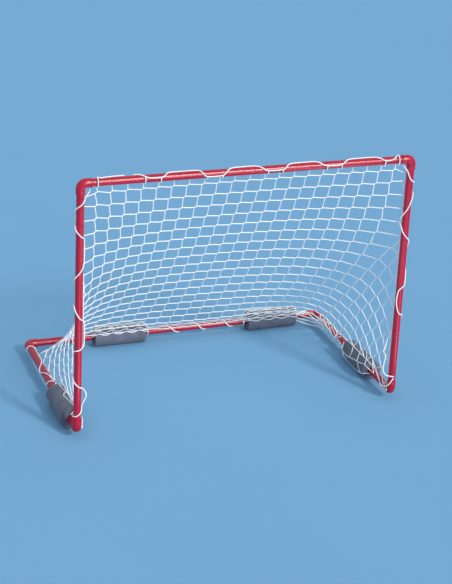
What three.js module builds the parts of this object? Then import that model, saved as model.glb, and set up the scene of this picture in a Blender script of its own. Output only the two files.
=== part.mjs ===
// Floating water polo goal: a closed loop of pipe with six elbows, four foam floats,
// a net and its lacing cords. Millimetres. X runs across the mouth, Y from the mouth to
// the rear, Z up. The part stands on its floats.
import * as THREE from 'three';

// Frame, from pipe axis to pipe axis
const MOUTH_WIDTH = 1192.5;
const MOUTH_HEIGHT = 900;
const GOAL_DEPTH = 720;
const PIPE_DIAMETER = 26.7;
const PIPE_WALL = 2.9;

// Elbows
const ELBOW_DIAMETER = 31.6;
const ELBOW_REACH = 38.1;
const SOCKET_DEPTH = 20;
const BEND_RADIUS = 17.6;

// Floats: the middle of each is a share of its rail, from the rail's middle at the rear
// and from the mouth at the sides
const FLOAT_DIAMETER = 76;
const FLOAT_LENGTH = 203;
const REAR_LEFT_FLOAT_SHARE = -0.197;
const REAR_RIGHT_FLOAT_SHARE = 0.332;
const LEFT_SIDE_FLOAT_SHARE = 0.254;
const RIGHT_SIDE_FLOAT_SHARE = 0.381;

// Net: sheet size, twine, and where its side flaps leave the posts and end on the side rails
const TWINE = 3.8;
const FIRST_ROW_DROP = 35;
const FLAP_START = 400;
const FLAP_START_DROP = 310;
const FLAP_REAR_END = 620;
const NET_SLACK_SHARE = 1.0108;
const MESH_COLUMNS = 22;
const MESH_ROWS = 17;
const CROSS_PULL_SHARE = 0.25;
const WEIGHT_SHARE = 0.01;
const JOIN_SHARE = 0.3;
const RELAX_SHARE = 1.9;
const SETTLE_SWEEPS = 3000;
const MITRE_LEAST_SHARE = 0.4;

// Directions, in degrees round each pipe, in which the net's edge cord lies
const CROSSBAR_EDGE_ANGLE = -60;
const POST_EDGE_ANGLE = 0;
const SIDE_RAIL_EDGE_ANGLE = 0;
const SIDE_FLOAT_EDGE_ANGLE = 55;
const REAR_RAIL_EDGE_ANGLE = 35;

// Lacing cord
const LACING_DIAMETER = 4.2;
const LIFT_HALF_ANGLE = 24;
const LIFT_FADE_ANGLE = 34;
const STEP_ANGLE = 38;
const ALONG_SHARE = 0.3;

// Clearances
const SEAT_GAP = 0.3;
const FLOAT_BORE_GAP = 0.5;
const NET_GAP = 0.6;
const CORD_GAP = 0.3;

// Facets
const PIPE_SIDES = 16;
const FLOAT_SIDES = 24;
const CORD_SIDES = 8;
const BEND_STEPS = 4;

// Lacing routes: each pair is a place along the pipe and the angle round it in degrees.
// Along the crossbar and rear rail the place is X, on the posts height, on the side rails Y.
const CROSSBAR_ROUTE = [
  [-548, -60], [-544, 0], [-540, 70], [-532, 100], [-500, 88], [-480, 78], [-452, 72], [-443, 20],
  [-438, -52], [-426, -52], [-420, 20], [-412, 68], [-399, 85], [-385, 120], [-370, 150], [-345, 160],
  [-322, 158], [-308, 130], [-296, 92], [-244, 80], [-205, 84], [-190, 100], [-178, 150], [-165, 192],
  [-137, 198], [-109, 192], [-95, 150], [-72, 95], [-35, 80], [5, 84], [22, 105], [50, 170], [75, 178],
  [110, 172], [125, 130], [142, 95], [180, 80], [225, 84], [245, 120], [262, 160], [295, 172],
  [325, 165], [340, 130], [357, 95], [400, 80], [448, 84], [470, 115], [489, 158], [505, 162],
  [520, 150], [535, 110], [545, 60], [549, 0], [552, -60],
];
const LEFT_POST_ROUTE = [
  [856, -30], [846, -60], [812, -200], [767, -205], [719, -90], [703, -32], [627, -32], [556, -200],
  [514, -330], [506, -374], [498, -330], [469, -200], [424, -90], [408, -32], [324, -32], [291, -200],
  [232, -322], [228, -372], [224, -322], [198, -200], [169, -90], [156, -34], [112, -34], [80, -40],
  [62, -90], [52, -200], [46, -300],
];
const RIGHT_POST_ROUTE = [
  [856, -32], [830, -75], [814, -159], [801, -310], [793, -374], [785, -310], [770, -159], [718, -69],
  [690, -6], [668, 40], [646, 0], [620, -60], [589, -159], [560, -200], [500, -205], [465, -165],
  [431, -140], [405, -50], [363, -32], [321, -69], [304, -159], [260, -240], [174, -300], [162, -315],
  [154, -360], [146, -386], [119, -394], [75, -440], [58, -519], [46, -660],
];
const LEFT_SIDE_ROUTE = [
  [666, 400], [655, 60], [600, 60], [540, 62], [505, 95], [463, 172], [418, 95], [378, 55], [369, -40],
  [361, -200], [353, -320],
];
const RIGHT_SIDE_ROUTE = [
  [666, 400], [655, 60], [610, 60], [570, 110], [540, 190], [505, 100], [482, 55], [470, -40],
  [462, -200], [454, -320],
];
const REAR_RAIL_ROUTE = [
  [-122, 215], [-108, -145], [-28, -325], [85, -685], [199, -1045], [268, -1300], [282, -1660],
];
const CROSSBAR_LACING_STEPS = 80;
const POST_LACING_STEPS = 64;
const SIDE_LACING_STEPS = 30;
const REAR_LACING_STEPS = 54;

const FULL_TURN = 360;
const radians = THREE.MathUtils.degToRad;
const left = -1;
const right = 1;

// Sizes that follow from the ones above
const pipeRadius = PIPE_DIAMETER / 2;
const elbowRadius = ELBOW_DIAMETER / 2;
const socketRadius = pipeRadius + SEAT_GAP;
const waterwayRadius = pipeRadius - PIPE_WALL;
const pipeStop = ELBOW_REACH - SOCKET_DEPTH;
const halfWidth = MOUTH_WIDTH / 2;
const twineRadius = TWINE / 2;
const lacingRadius = LACING_DIAMETER / 2;
const floatCornerRadius = FLOAT_DIAMETER / 2 / Math.cos(Math.PI / FLOAT_SIDES);
const rearLeftFloatX = REAR_LEFT_FLOAT_SHARE * MOUTH_WIDTH;
const rearRightFloatX = REAR_RIGHT_FLOAT_SHARE * MOUTH_WIDTH;
const leftSideFloatY = LEFT_SIDE_FLOAT_SHARE * GOAL_DEPTH;
const rightSideFloatY = RIGHT_SIDE_FLOAT_SHARE * GOAL_DEPTH;

// Plastic, foam and cord
const red = new THREE.MeshStandardMaterial({ color: 0xb3173a, roughness: 0.28, metalness: 0 });
const grey = new THREE.MeshStandardMaterial({ color: 0x6d7378, roughness: 0.95, metalness: 0 });
const white = new THREE.MeshStandardMaterial({ color: 0xeeeeea, roughness: 0.8, metalness: 0 });

// Axes of each pipe: a point on it, its direction, and the directions of 0 and 90 degrees round it
const unitX = new THREE.Vector3(1, 0, 0);
const unitY = new THREE.Vector3(0, 1, 0);
const unitZ = new THREE.Vector3(0, 0, 1);
const inward = (side) => unitX.clone().multiplyScalar(-side);
const crossbarAxis = (
  { origin: new THREE.Vector3(0, 0, MOUTH_HEIGHT), along: unitX, zero: unitY, quarter: unitZ }
);
const rearAxis = (
  { origin: new THREE.Vector3(0, GOAL_DEPTH, 0), along: unitX, zero: unitY.clone().negate(), quarter: unitZ }
);
const postAxis = (side) => (
  { origin: new THREE.Vector3(side * halfWidth, 0, 0), along: unitZ, zero: inward(side), quarter: unitY }
);
const sideAxis = (side) => (
  { origin: new THREE.Vector3(side * halfWidth, 0, 0), along: unitY, zero: inward(side), quarter: unitZ }
);

function roundPlace(axis, along, radius, degrees) {
  const angle = radians(degrees);
  return axis.origin.clone()
    .addScaledVector(axis.along, along)
    .addScaledVector(axis.zero, radius * Math.cos(angle))
    .addScaledVector(axis.quarter, radius * Math.sin(angle));
}

function named(name, geometry, material) {
  const mesh = new THREE.Mesh(geometry, material);
  mesh.name = name;
  return mesh;
}

// A hollow cylinder on the Y axis, centred on the origin
function tubeGeometry(outer, inner, length, sides) {
  const end = length / 2;
  const profile = [[inner, -end], [outer, -end], [outer, end], [inner, end], [inner, -end]];
  return new THREE.LatheGeometry(profile.map(([radius, height]) => new THREE.Vector2(radius, height)), sides);
}

// Turns the Y axis onto the pipe's direction and moves the middle to its place along it
function layAlong(mesh, axis, middle) {
  mesh.quaternion.setFromUnitVectors(unitY, axis.along);
  mesh.position.copy(axis.origin).addScaledVector(axis.along, middle);
  return mesh;
}

function pipe(name, axis, start, end) {
  const insertion = pipeStop + SEAT_GAP;
  const length = end - start - 2 * insertion;
  const tube = tubeGeometry(pipeRadius, waterwayRadius, length, PIPE_SIDES);
  return layAlong(named(name, tube, red), axis, (start + end) / 2);
}

function pipes() {
  return [
    pipe('crossbar', crossbarAxis, -halfWidth, halfWidth),
    pipe('left_post', postAxis(left), 0, MOUTH_HEIGHT),
    pipe('right_post', postAxis(right), 0, MOUTH_HEIGHT),
    pipe('left_side_rail', sideAxis(left), 0, GOAL_DEPTH),
    pipe('right_side_rail', sideAxis(right), 0, GOAL_DEPTH),
    pipe('rear_rail', rearAxis, -halfWidth, halfWidth),
  ];
}

// A closed skin through a loop of rings, each with the same number of points
function skinOfRings(rings) {
  const sides = rings[0].length;
  const positions = rings.flat().flatMap((point) => point.toArray());
  const index = [];
  for (let ring = 0; ring < rings.length; ring += 1) {
    const next = (ring + 1) % rings.length;
    for (let side = 0; side < sides; side += 1) {
      const turn = (side + 1) % sides;
      const corners = [ring * sides + side, ring * sides + turn, next * sides + turn, next * sides + side];
      index.push(corners[0], corners[1], corners[2], corners[0], corners[2], corners[3]);
    }
  }
  return facingOut(positions, index);
}

// Six times the volume inside the triangles, negative where they face inwards
function signedVolume(positions, index) {
  const [a, b, c] = [new THREE.Vector3(), new THREE.Vector3(), new THREE.Vector3()];
  let volume = 0;
  for (let corner = 0; corner < index.length; corner += 3) {
    a.fromArray(positions, 3 * index[corner]);
    b.fromArray(positions, 3 * index[corner + 1]);
    c.fromArray(positions, 3 * index[corner + 2]);
    volume += a.dot(b.cross(c));
  }
  return volume;
}

function facingOut(positions, index) {
  const outward = signedVolume(positions, index) > 0 ? index : [...index].reverse();
  const geometry = new THREE.BufferGeometry();
  geometry.setAttribute('position', new THREE.Float32BufferAttribute(positions, 3));
  geometry.setIndex(outward);
  geometry.computeVertexNormals();
  return geometry;
}

// A ninety-degree elbow whose corner is at a place, with sockets facing two directions
function elbow(name, corner, firstWay, secondWay) {
  const across = new THREE.Vector3().crossVectors(firstWay, secondWay);
  const ring = (firstRun, secondRun, outFirst, outSecond, radius) => {
    const centre = corner.clone().addScaledVector(firstWay, firstRun).addScaledVector(secondWay, secondRun);
    const out = firstWay.clone().multiplyScalar(outFirst).addScaledVector(secondWay, outSecond);
    return Array.from({ length: PIPE_SIDES }, (_, side) => {
      const angle = (side / PIPE_SIDES) * 2 * Math.PI;
      return centre.clone()
        .addScaledVector(across, radius * Math.cos(angle))
        .addScaledVector(out, radius * Math.sin(angle));
    });
  };
  const firstLeg = (run, radius) => ring(run, 0, 0, -1, radius);
  const secondLeg = (run, radius) => ring(0, run, -1, 0, radius);
  const bend = (radius) => Array.from({ length: BEND_STEPS + 1 }, (_, step) => {
    const angle = (step / BEND_STEPS) * (Math.PI / 2);
    const [sine, cosine] = [Math.sin(angle), Math.cos(angle)];
    return ring(BEND_RADIUS * (1 - sine), BEND_RADIUS * (1 - cosine), -sine, -cosine, radius);
  });
  const outside = [
    firstLeg(ELBOW_REACH, elbowRadius),
    ...bend(elbowRadius),
    secondLeg(ELBOW_REACH, elbowRadius),
  ];
  const secondSocket = [
    secondLeg(ELBOW_REACH, socketRadius),
    secondLeg(pipeStop, socketRadius),
    secondLeg(pipeStop, waterwayRadius),
  ];
  const firstSocket = [
    firstLeg(pipeStop, waterwayRadius),
    firstLeg(pipeStop, socketRadius),
    firstLeg(ELBOW_REACH, socketRadius),
  ];
  const waterway = bend(waterwayRadius).reverse();
  return named(name, skinOfRings([...outside, ...secondSocket, ...waterway, ...firstSocket]), red);
}

function elbows() {
  const made = [];
  for (const [word, side] of [['left', left], ['right', right]]) {
    const top = new THREE.Vector3(side * halfWidth, 0, MOUTH_HEIGHT);
    const front = new THREE.Vector3(side * halfWidth, 0, 0);
    const rear = new THREE.Vector3(side * halfWidth, GOAL_DEPTH, 0);
    made.push(elbow(`top_${word}_elbow`, top, inward(side), unitZ.clone().negate()));
    made.push(elbow(`front_${word}_elbow`, front, unitZ, unitY));
    made.push(elbow(`rear_${word}_elbow`, rear, unitY.clone().negate(), inward(side)));
  }
  return made;
}

// A foam tube on its rail, with a flat facet downwards
function foamFloat(name, axis, middle) {
  const boreRadius = (pipeRadius + FLOAT_BORE_GAP) / Math.cos(Math.PI / FLOAT_SIDES);
  const foam = tubeGeometry(floatCornerRadius, boreRadius, FLOAT_LENGTH, FLOAT_SIDES);
  foam.rotateY(Math.PI / FLOAT_SIDES);
  return layAlong(named(name, foam, grey), axis, middle);
}

function floats() {
  return [
    foamFloat('rear_left_float', rearAxis, rearLeftFloatX),
    foamFloat('rear_right_float', rearAxis, rearRightFloatX),
    foamFloat('left_side_float', sideAxis(left), leftSideFloatY),
    foamFloat('right_side_float', sideAxis(right), rightSideFloatY),
  ];
}

// The net's flat cut: a strip as wide as the mouth from the crossbar (s = 0) to the rear
// rail (s = netLength), and a triangular flap on each side that follows the lower post as
// far as its tip and then the side rail.
const netLength = NET_SLACK_SHARE * Math.hypot(MOUTH_HEIGHT, GOAL_DEPTH);
const lowerPost = MOUTH_HEIGHT - FLAP_START_DROP;
const flapEdge = netLength - FLAP_START;
const tipRun = (flapEdge ** 2 + lowerPost ** 2 - FLAP_REAR_END ** 2) / (2 * flapEdge);
const tipLength = FLAP_START + tipRun;
const flapWidth = Math.sqrt(lowerPost ** 2 - tipRun ** 2);
const columnPitch = MOUTH_WIDTH / MESH_COLUMNS;
const rowPitch = (netLength - FIRST_ROW_DROP) / MESH_ROWS;
const joinWidth = JOIN_SHARE * columnPitch;
const longestEdgeBar = (columnPitch * Math.max(FLAP_REAR_END, lowerPost, flapWidth)) / flapWidth;

// How far the flat cut reaches from its middle line at a length s down the sheet
function halfSpan(s) {
  if (s <= FLAP_START) return halfWidth;
  if (s <= tipLength) return halfWidth + (flapWidth * (s - FLAP_START)) / (tipLength - FLAP_START);
  return halfWidth + (flapWidth * (netLength - s)) / (netLength - tipLength);
}

// The radius at which the edge cord passes a pipe, an elbow or a float
const pastPipe = pipeRadius + NET_GAP + twineRadius;
const pastElbow = elbowRadius + NET_GAP + twineRadius;
const pastFloat = floatCornerRadius + NET_GAP + twineRadius;
const pastFrame = (run, length) => (
  Math.min(run, length - run) < ELBOW_REACH + longestEdgeBar ? pastElbow : pastPipe
);
const nearFloat = (place, middle) => Math.abs(place - middle) < FLOAT_LENGTH / 2 + longestEdgeBar;
const pastBar = (x) => pastFrame(halfWidth - Math.abs(x), MOUTH_WIDTH);
const pastPost = (height) => pastFrame(height, MOUTH_HEIGHT);
const pastSideRail = (y) => (y > FLAP_REAR_END ? 0 : pastFrame(y, GOAL_DEPTH));

function crossbarEdge(x) {
  const limit = halfWidth - pastElbow;
  return roundPlace(crossbarAxis, THREE.MathUtils.clamp(x, -limit, limit), pastBar(x), CROSSBAR_EDGE_ANGLE);
}

function postEdge(side, height) {
  return roundPlace(postAxis(side), height, pastPost(height), POST_EDGE_ANGLE);
}

function sideRailEdge(side, y) {
  const middle = side === left ? leftSideFloatY : rightSideFloatY;
  if (nearFloat(y, middle)) return roundPlace(sideAxis(side), y, pastFloat, SIDE_FLOAT_EDGE_ANGLE);
  return roundPlace(sideAxis(side), y, pastFrame(y, GOAL_DEPTH), SIDE_RAIL_EDGE_ANGLE);
}

function rearRailEdge(x) {
  const atFloat = nearFloat(x, rearLeftFloatX) || nearFloat(x, rearRightFloatX);
  return roundPlace(rearAxis, x, atFloat ? pastFloat : pastBar(x), REAR_RAIL_EDGE_ANGLE);
}

// Where the side edge of the sheet is tied, at a length s down the sheet
function sideEdge(side, s) {
  if (s <= FLAP_START) return postEdge(side, MOUTH_HEIGHT - (FLAP_START_DROP * s) / FLAP_START);
  if (s <= tipLength) return postEdge(side, (lowerPost * (tipLength - s)) / (tipLength - FLAP_START));
  return sideRailEdge(side, (FLAP_REAR_END * (s - tipLength)) / (netLength - tipLength));
}

// The knots of the net, held along the edge and free inside it, and the bars between them
function netPlan() {
  const knots = [];
  const bars = [];
  const knot = (t, s, place, held) => knots.push({ t, s, place, held }) - 1;
  const rows = [];
  for (let row = 0; row < MESH_ROWS; row += 1) rows.push(FIRST_ROW_DROP + row * rowPitch);
  const lastColumn = Math.floor((halfWidth + flapWidth) / columnPitch);
  const columnCount = 2 * lastColumn + 1;
  const columns = Array.from({ length: columnCount }, (_, count) => (count - lastColumn) * columnPitch);
  const edge = { top: [], right: [], bottom: [], left: [] };
  const sideOf = (t) => (t < 0 ? left : right);
  const sideList = (side) => (side === left ? edge.left : edge.right);
  const cornerKnots = () => {
    for (const side of [left, right]) {
      edge.top.push(knot(side * halfWidth, 0, crossbarEdge(side * halfWidth), true));
      const tip = roundPlace(postAxis(side), 0, pastElbow, POST_EDGE_ANGLE);
      sideList(side).push(knot(side * (halfWidth + flapWidth), tipLength, tip, true));
      sideList(side).push(knot(side * halfWidth, netLength, sideRailEdge(side, FLAP_REAR_END), true));
    }
  };
  cornerKnots();
  const rowEnds = rows.map((s) => [left, right].map((side) => {
    const end = knot(side * halfSpan(s), s, sideEdge(side, s), true);
    sideList(side).push(end);
    return end;
  }));
  const inner = new Map();
  const innerKey = (row, t) => `${row} ${t.toFixed(3)}`;
  rows.forEach((s, row) => {
    const span = halfSpan(s);
    const along = columns.filter((t) => Math.abs(t) < span - joinWidth);
    const middle = along.map((t) => {
      const first = new THREE.Vector3(t, (GOAL_DEPTH * s) / netLength, MOUTH_HEIGHT * (1 - s / netLength));
      const made = knot(t, s, first, false);
      inner.set(innerKey(row, t), made);
      return made;
    });
    const line = [rowEnds[row][0], ...middle, rowEnds[row][1]];
    line.slice(1).forEach((end, count) => bars.push({ ends: [line[count], end], pull: CROSS_PULL_SHARE }));
  });
  const flapEnd = (t, upper) => {
    const side = sideOf(t);
    const share = (Math.abs(t) - halfWidth) / flapWidth;
    const s = upper
      ? FLAP_START + (tipLength - FLAP_START) * share
      : netLength - (netLength - tipLength) * share;
    const corner = sideList(side).find((one) => (
      Math.hypot(knots[one].t - t, knots[one].s - s) < joinWidth / 2
    ));
    if (corner !== undefined) return corner;
    const near = rows.findIndex((rowS) => (
      (upper ? rowS <= tipLength : rowS > tipLength) && rowS > FLAP_START
      && Math.abs(halfSpan(rowS) - Math.abs(t)) < joinWidth
    ));
    if (near >= 0) return rowEnds[near][side === left ? 0 : 1];
    const made = knot(t, s, sideEdge(side, s), true);
    sideList(side).push(made);
    return made;
  };
  for (const t of columns) {
    const onFlap = Math.abs(t) > halfWidth - joinWidth / 2;
    const straightEnd = (s, place, list) => {
      const made = knot(t, s, place, true);
      list.push(made);
      return made;
    };
    const first = onFlap ? flapEnd(t, true) : straightEnd(0, crossbarEdge(t), edge.top);
    const last = onFlap ? flapEnd(t, false) : straightEnd(netLength, rearRailEdge(t), edge.bottom);
    const middle = rows.map((_, row) => inner.get(innerKey(row, t))).filter((made) => made !== undefined);
    const line = [first, ...middle, last];
    line.slice(1).forEach((end, count) => bars.push({ ends: [line[count], end], pull: 1 }));
  }
  const sorted = (list, key) => [...list].sort((a, b) => knots[a][key] - knots[b][key]);
  const loop = [
    ...sorted(edge.top, 't'), ...sorted(edge.right, 's'),
    ...sorted(edge.bottom, 't').reverse(), ...sorted(edge.left, 's').reverse(),
  ];
  loop.forEach((start, count) => bars.push({ ends: [start, loop[(count + 1) % loop.length]], pull: 0 }));
  return { knots, bars };
}

// Lets the free knots settle where the pulls of their bars and a small weight balance
function settle({ knots, bars }) {
  const ties = knots.map(() => []);
  for (const { ends: [a, b], pull } of bars) {
    const length = Math.hypot(knots[a].t - knots[b].t, knots[a].s - knots[b].s);
    const weight = pull / Math.max(length, joinWidth / 2);
    ties[a].push([b, weight]);
    ties[b].push([a, weight]);
  }
  const target = new THREE.Vector3();
  for (let sweep = 0; sweep < SETTLE_SWEEPS; sweep += 1) {
    knots.forEach((one, index) => {
      if (one.held) return;
      let total = 0;
      target.set(0, 0, -WEIGHT_SHARE);
      for (const [other, weight] of ties[index]) {
        target.addScaledVector(knots[other].place, weight);
        total += weight;
      }
      target.divideScalar(total);
      one.place.lerp(target, RELAX_SHARE);
    });
  }
}

// The meshes of the net, and its outside, as loops of knots with the opening on the left
function meshLoops({ knots, bars }) {
  const around = knots.map(() => []);
  for (const { ends: [a, b] } of bars) {
    around[a].push(b);
    around[b].push(a);
  }
  const heading = (from, to) => Math.atan2(knots[to].s - knots[from].s, knots[to].t - knots[from].t);
  around.forEach((list, from) => list.sort((a, b) => heading(from, a) - heading(from, b)));
  const used = new Set();
  const loops = [];
  around.forEach((list, start) => list.forEach((second) => {
    if (used.has(`${start} ${second}`)) return;
    const loop = [];
    let [from, to] = [start, second];
    while (!used.has(`${from} ${to}`)) {
      used.add(`${from} ${to}`);
      loop.push(from);
      const ways = around[to];
      const next = ways[(ways.indexOf(from) - 1 + ways.length) % ways.length];
      [from, to] = [to, next];
    }
    loops.push(loop);
  }));
  return loops;
}

// Twice the area that a loop of knots takes up in space, as a vector square to it
function loopNormal(knots, loop) {
  const normal = new THREE.Vector3();
  loop.forEach((here, count) => {
    const next = loop[(count + 1) % loop.length];
    normal.add(new THREE.Vector3().crossVectors(knots[here].place, knots[next].place));
  });
  return normal;
}

// The net as one body of bars with a diamond section
function netGeometry() {
  const plan = netPlan();
  settle(plan);
  const { knots } = plan;
  const loops = meshLoops(plan);
  const flatArea = (loop) => loop.reduce((sum, here, count) => {
    const next = loop[(count + 1) % loop.length];
    return sum + knots[here].t * knots[next].s - knots[next].t * knots[here].s;
  }, 0);
  const normals = knots.map(() => new THREE.Vector3());
  loops.filter((loop) => flatArea(loop) > 0).forEach((loop) => {
    const normal = loopNormal(knots, loop);
    loop.forEach((here) => normals[here].add(normal));
  });
  normals.forEach((normal) => normal.normalize());
  const positions = [];
  const index = [];
  const vertex = (point) => positions.push(...point.toArray()) / 3 - 1;
  const raised = (one, height) => vertex(knots[one].place.clone().addScaledVector(normals[one], height));
  const upper = knots.map((_, one) => raised(one, twineRadius));
  const lower = knots.map((_, one) => raised(one, -twineRadius));
  for (const loop of loops) {
    const rim = insetLoop(knots, normals, loop);
    if (rim) addOpenMesh(index, loop, upper, lower, rim.map(vertex));
    else addFilledMesh(index, loop, upper, lower);
  }
  return facingOut(positions, index);
}

// A loop's knots moved half a bar to the left of its edges, or nothing where the mesh is
// too small to stay open
function insetLoop(knots, normals, loop) {
  const count = loop.length;
  const place = (step) => knots[loop[(step + count) % count]].place;
  const rim = loop.map((here, step) => {
    const before = place(step).clone().sub(place(step - 1)).normalize();
    const after = place(step + 1).clone().sub(place(step)).normalize();
    const leftBefore = new THREE.Vector3().crossVectors(normals[here], before).normalize();
    const leftAfter = new THREE.Vector3().crossVectors(normals[here], after).normalize();
    const mitre = leftBefore.clone().add(leftAfter).normalize();
    const reach = twineRadius / Math.max(mitre.dot(leftBefore), MITRE_LEAST_SHARE);
    return place(step).clone().addScaledVector(mitre, reach);
  });
  const open = rim.every((point, step) => {
    const rimEdge = rim[(step + 1) % count].clone().sub(point);
    return rimEdge.dot(place(step + 1).clone().sub(place(step))) > 0;
  });
  return open ? rim : null;
}

function addOpenMesh(index, loop, upper, lower, rim) {
  loop.forEach((here, step) => {
    const turn = (step + 1) % loop.length;
    const next = loop[turn];
    index.push(upper[here], upper[next], rim[turn], upper[here], rim[turn], rim[step]);
    index.push(lower[here], rim[turn], lower[next], lower[here], rim[step], rim[turn]);
  });
}

function addFilledMesh(index, loop, upper, lower) {
  for (let step = 1; step < loop.length - 1; step += 1) {
    index.push(upper[loop[0]], upper[loop[step]], upper[loop[step + 1]]);
    index.push(lower[loop[0]], lower[loop[step + 1]], lower[loop[step]]);
  }
}

// A lacing cord's route, laid out smoothly on the pipe's unrolled surface and wound round
// it, lifted where it crosses the net's edge cord. Its steps are spaced mostly by how far
// it turns, so that no step cuts the pipe.
class LacingRoute extends THREE.Curve {
  constructor(axis, edgeAngle, edgeRadius, stops) {
    super();
    this.axis = axis;
    this.edgeAngle = edgeAngle;
    this.edgeRadius = edgeRadius;
    const laid = stops.map(([along, degrees]) => (
      new THREE.Vector3(along * ALONG_SHARE, radians(degrees) * pipeRadius, 0)
    ));
    this.unrolled = new THREE.CatmullRomCurve3(laid, false, 'centripetal');
  }

  getPoint(share, target = new THREE.Vector3()) {
    const laid = this.unrolled.getPointAt(share);
    const along = laid.x / ALONG_SHARE;
    const degrees = THREE.MathUtils.radToDeg(laid.y / pipeRadius);
    return target.copy(roundPlace(this.axis, along, this.radiusAt(along, degrees), degrees));
  }

  getUtoTmapping(share) {
    return share;
  }

  radiusAt(along, degrees) {
    const sag = Math.cos(radians(STEP_ANGLE / 2));
    const onPipe = (pipeRadius + CORD_GAP + lacingRadius) / sag;
    const overEdge = (this.edgeRadius(along) + twineRadius + CORD_GAP + lacingRadius) / sag;
    const turned = THREE.MathUtils.euclideanModulo(degrees - this.edgeAngle, FULL_TURN);
    const away = Math.min(turned, FULL_TURN - turned);
    const fade = THREE.MathUtils.smoothstep(away, LIFT_HALF_ANGLE, LIFT_HALF_ANGLE + LIFT_FADE_ANGLE);
    return THREE.MathUtils.lerp(Math.max(overEdge, onPipe), onPipe, fade);
  }
}

function lacing(name, axis, { edgeAngle, edgeRadius, steps }, stops) {
  const section = new THREE.Shape(Array.from({ length: CORD_SIDES }, (_, side) => {
    const angle = (side / CORD_SIDES) * 2 * Math.PI;
    return new THREE.Vector2(lacingRadius * Math.cos(angle), lacingRadius * Math.sin(angle));
  }));
  const extrudePath = new LacingRoute(axis, edgeAngle, edgeRadius, stops);
  return named(name, new THREE.ExtrudeGeometry(section, { steps, extrudePath }), white);
}

function lacings() {
  const sideRail = { edgeAngle: SIDE_RAIL_EDGE_ANGLE, edgeRadius: pastSideRail, steps: SIDE_LACING_STEPS };
  const post = { edgeAngle: POST_EDGE_ANGLE, edgeRadius: pastPost, steps: POST_LACING_STEPS };
  const crossbar = { edgeAngle: CROSSBAR_EDGE_ANGLE, edgeRadius: pastBar, steps: CROSSBAR_LACING_STEPS };
  const rearRail = { edgeAngle: REAR_RAIL_EDGE_ANGLE, edgeRadius: pastBar, steps: REAR_LACING_STEPS };
  return [
    lacing('crossbar_lacing', crossbarAxis, crossbar, CROSSBAR_ROUTE),
    lacing('left_post_lacing', postAxis(left), post, LEFT_POST_ROUTE),
    lacing('right_post_lacing', postAxis(right), post, RIGHT_POST_ROUTE),
    lacing('left_side_lacing', sideAxis(left), sideRail, LEFT_SIDE_ROUTE),
    lacing('right_side_lacing', sideAxis(right), sideRail, RIGHT_SIDE_ROUTE),
    lacing('rear_rail_lacing', rearAxis, rearRail, REAR_RAIL_ROUTE),
  ];
}

// Everything, moved so that the floats stand on the ground and the box is centred over the origin
function goal() {
  const group = new THREE.Group();
  const net = named('net', netGeometry(), white);
  group.add(...pipes(), ...elbows(), ...floats(), net, ...lacings());
  group.updateMatrixWorld(true);
  const box = new THREE.Box3().setFromObject(group, true);
  const middle = box.getCenter(new THREE.Vector3());
  group.position.set(-middle.x, -middle.y, -box.min.z);
  return group;
}

export default goal();
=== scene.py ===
"""A floating water polo goal: red pipe frame, foam tube floats, knotless net and the cord that laces it on."""

import math

import bmesh
import bpy
import numpy as np
from bpy.props import FloatProperty, FloatVectorProperty, IntProperty, PointerProperty
from bpy.types import Operator, Panel, PropertyGroup
from mathutils import Matrix, Vector, noise


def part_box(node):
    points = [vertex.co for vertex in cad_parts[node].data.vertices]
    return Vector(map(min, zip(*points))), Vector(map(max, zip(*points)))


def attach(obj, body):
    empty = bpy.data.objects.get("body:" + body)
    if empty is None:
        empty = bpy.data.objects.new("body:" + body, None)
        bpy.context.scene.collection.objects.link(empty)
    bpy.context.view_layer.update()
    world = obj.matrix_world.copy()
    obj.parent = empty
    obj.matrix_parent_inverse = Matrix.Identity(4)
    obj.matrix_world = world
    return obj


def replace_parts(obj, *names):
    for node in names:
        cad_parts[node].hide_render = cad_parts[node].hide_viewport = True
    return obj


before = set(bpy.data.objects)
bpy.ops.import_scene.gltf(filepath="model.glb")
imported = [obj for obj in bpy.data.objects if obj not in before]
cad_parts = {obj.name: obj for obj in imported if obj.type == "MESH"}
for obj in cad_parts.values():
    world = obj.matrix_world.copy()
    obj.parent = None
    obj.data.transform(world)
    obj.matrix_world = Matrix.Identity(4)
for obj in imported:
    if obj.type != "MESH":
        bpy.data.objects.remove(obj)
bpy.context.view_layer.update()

bl_info = {
    "name": "Water Polo Goal",
    "version": (1, 0, 0),
    "blender": (4, 5, 0),
    "location": "3D View > Sidebar > Goal",
    "description": "Builds a floating pipe goal with its foam floats, net and lacing",
    "category": "Add Mesh",
}

LEFT, RIGHT = -1, 1
SIDE_NAMES = {LEFT: "left", RIGHT: "right"}
FULL_TURN = 2 * math.pi
FULL_DEGREES = 360
QUARTER_TURN = math.pi / 2
MERGE_DISTANCE = 1e-6


def middle(node):
    """The middle of a CAD node's box."""
    low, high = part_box(node)
    return (low + high) / 2


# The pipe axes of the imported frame, which everything is set out from
MOUTH_Y = middle("crossbar").y
RAIL_Z = middle("rear_rail").z
POST_X = middle("right_post").x
BAR_HEIGHT = middle("crossbar").z - RAIL_Z
REAR_DEPTH = middle("rear_rail").y - MOUTH_Y

PIPE_NODES = {
    "crossbar": "X",
    "rear_rail": "X",
    "left_side_rail": "Y",
    "right_side_rail": "Y",
    "left_post": "Z",
    "right_post": "Z",
}
FLOAT_BODIES = {
    "rear_left_float": "rear_left_tube",
    "rear_right_float": "rear_right_tube",
    "left_side_float": "left_side_tube",
    "right_side_float": "right_side_tube",
}
FLOAT_ALONG = {"rear_left_float": "X", "rear_right_float": "X", "left_side_float": "Y", "right_side_float": "Y"}

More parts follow.
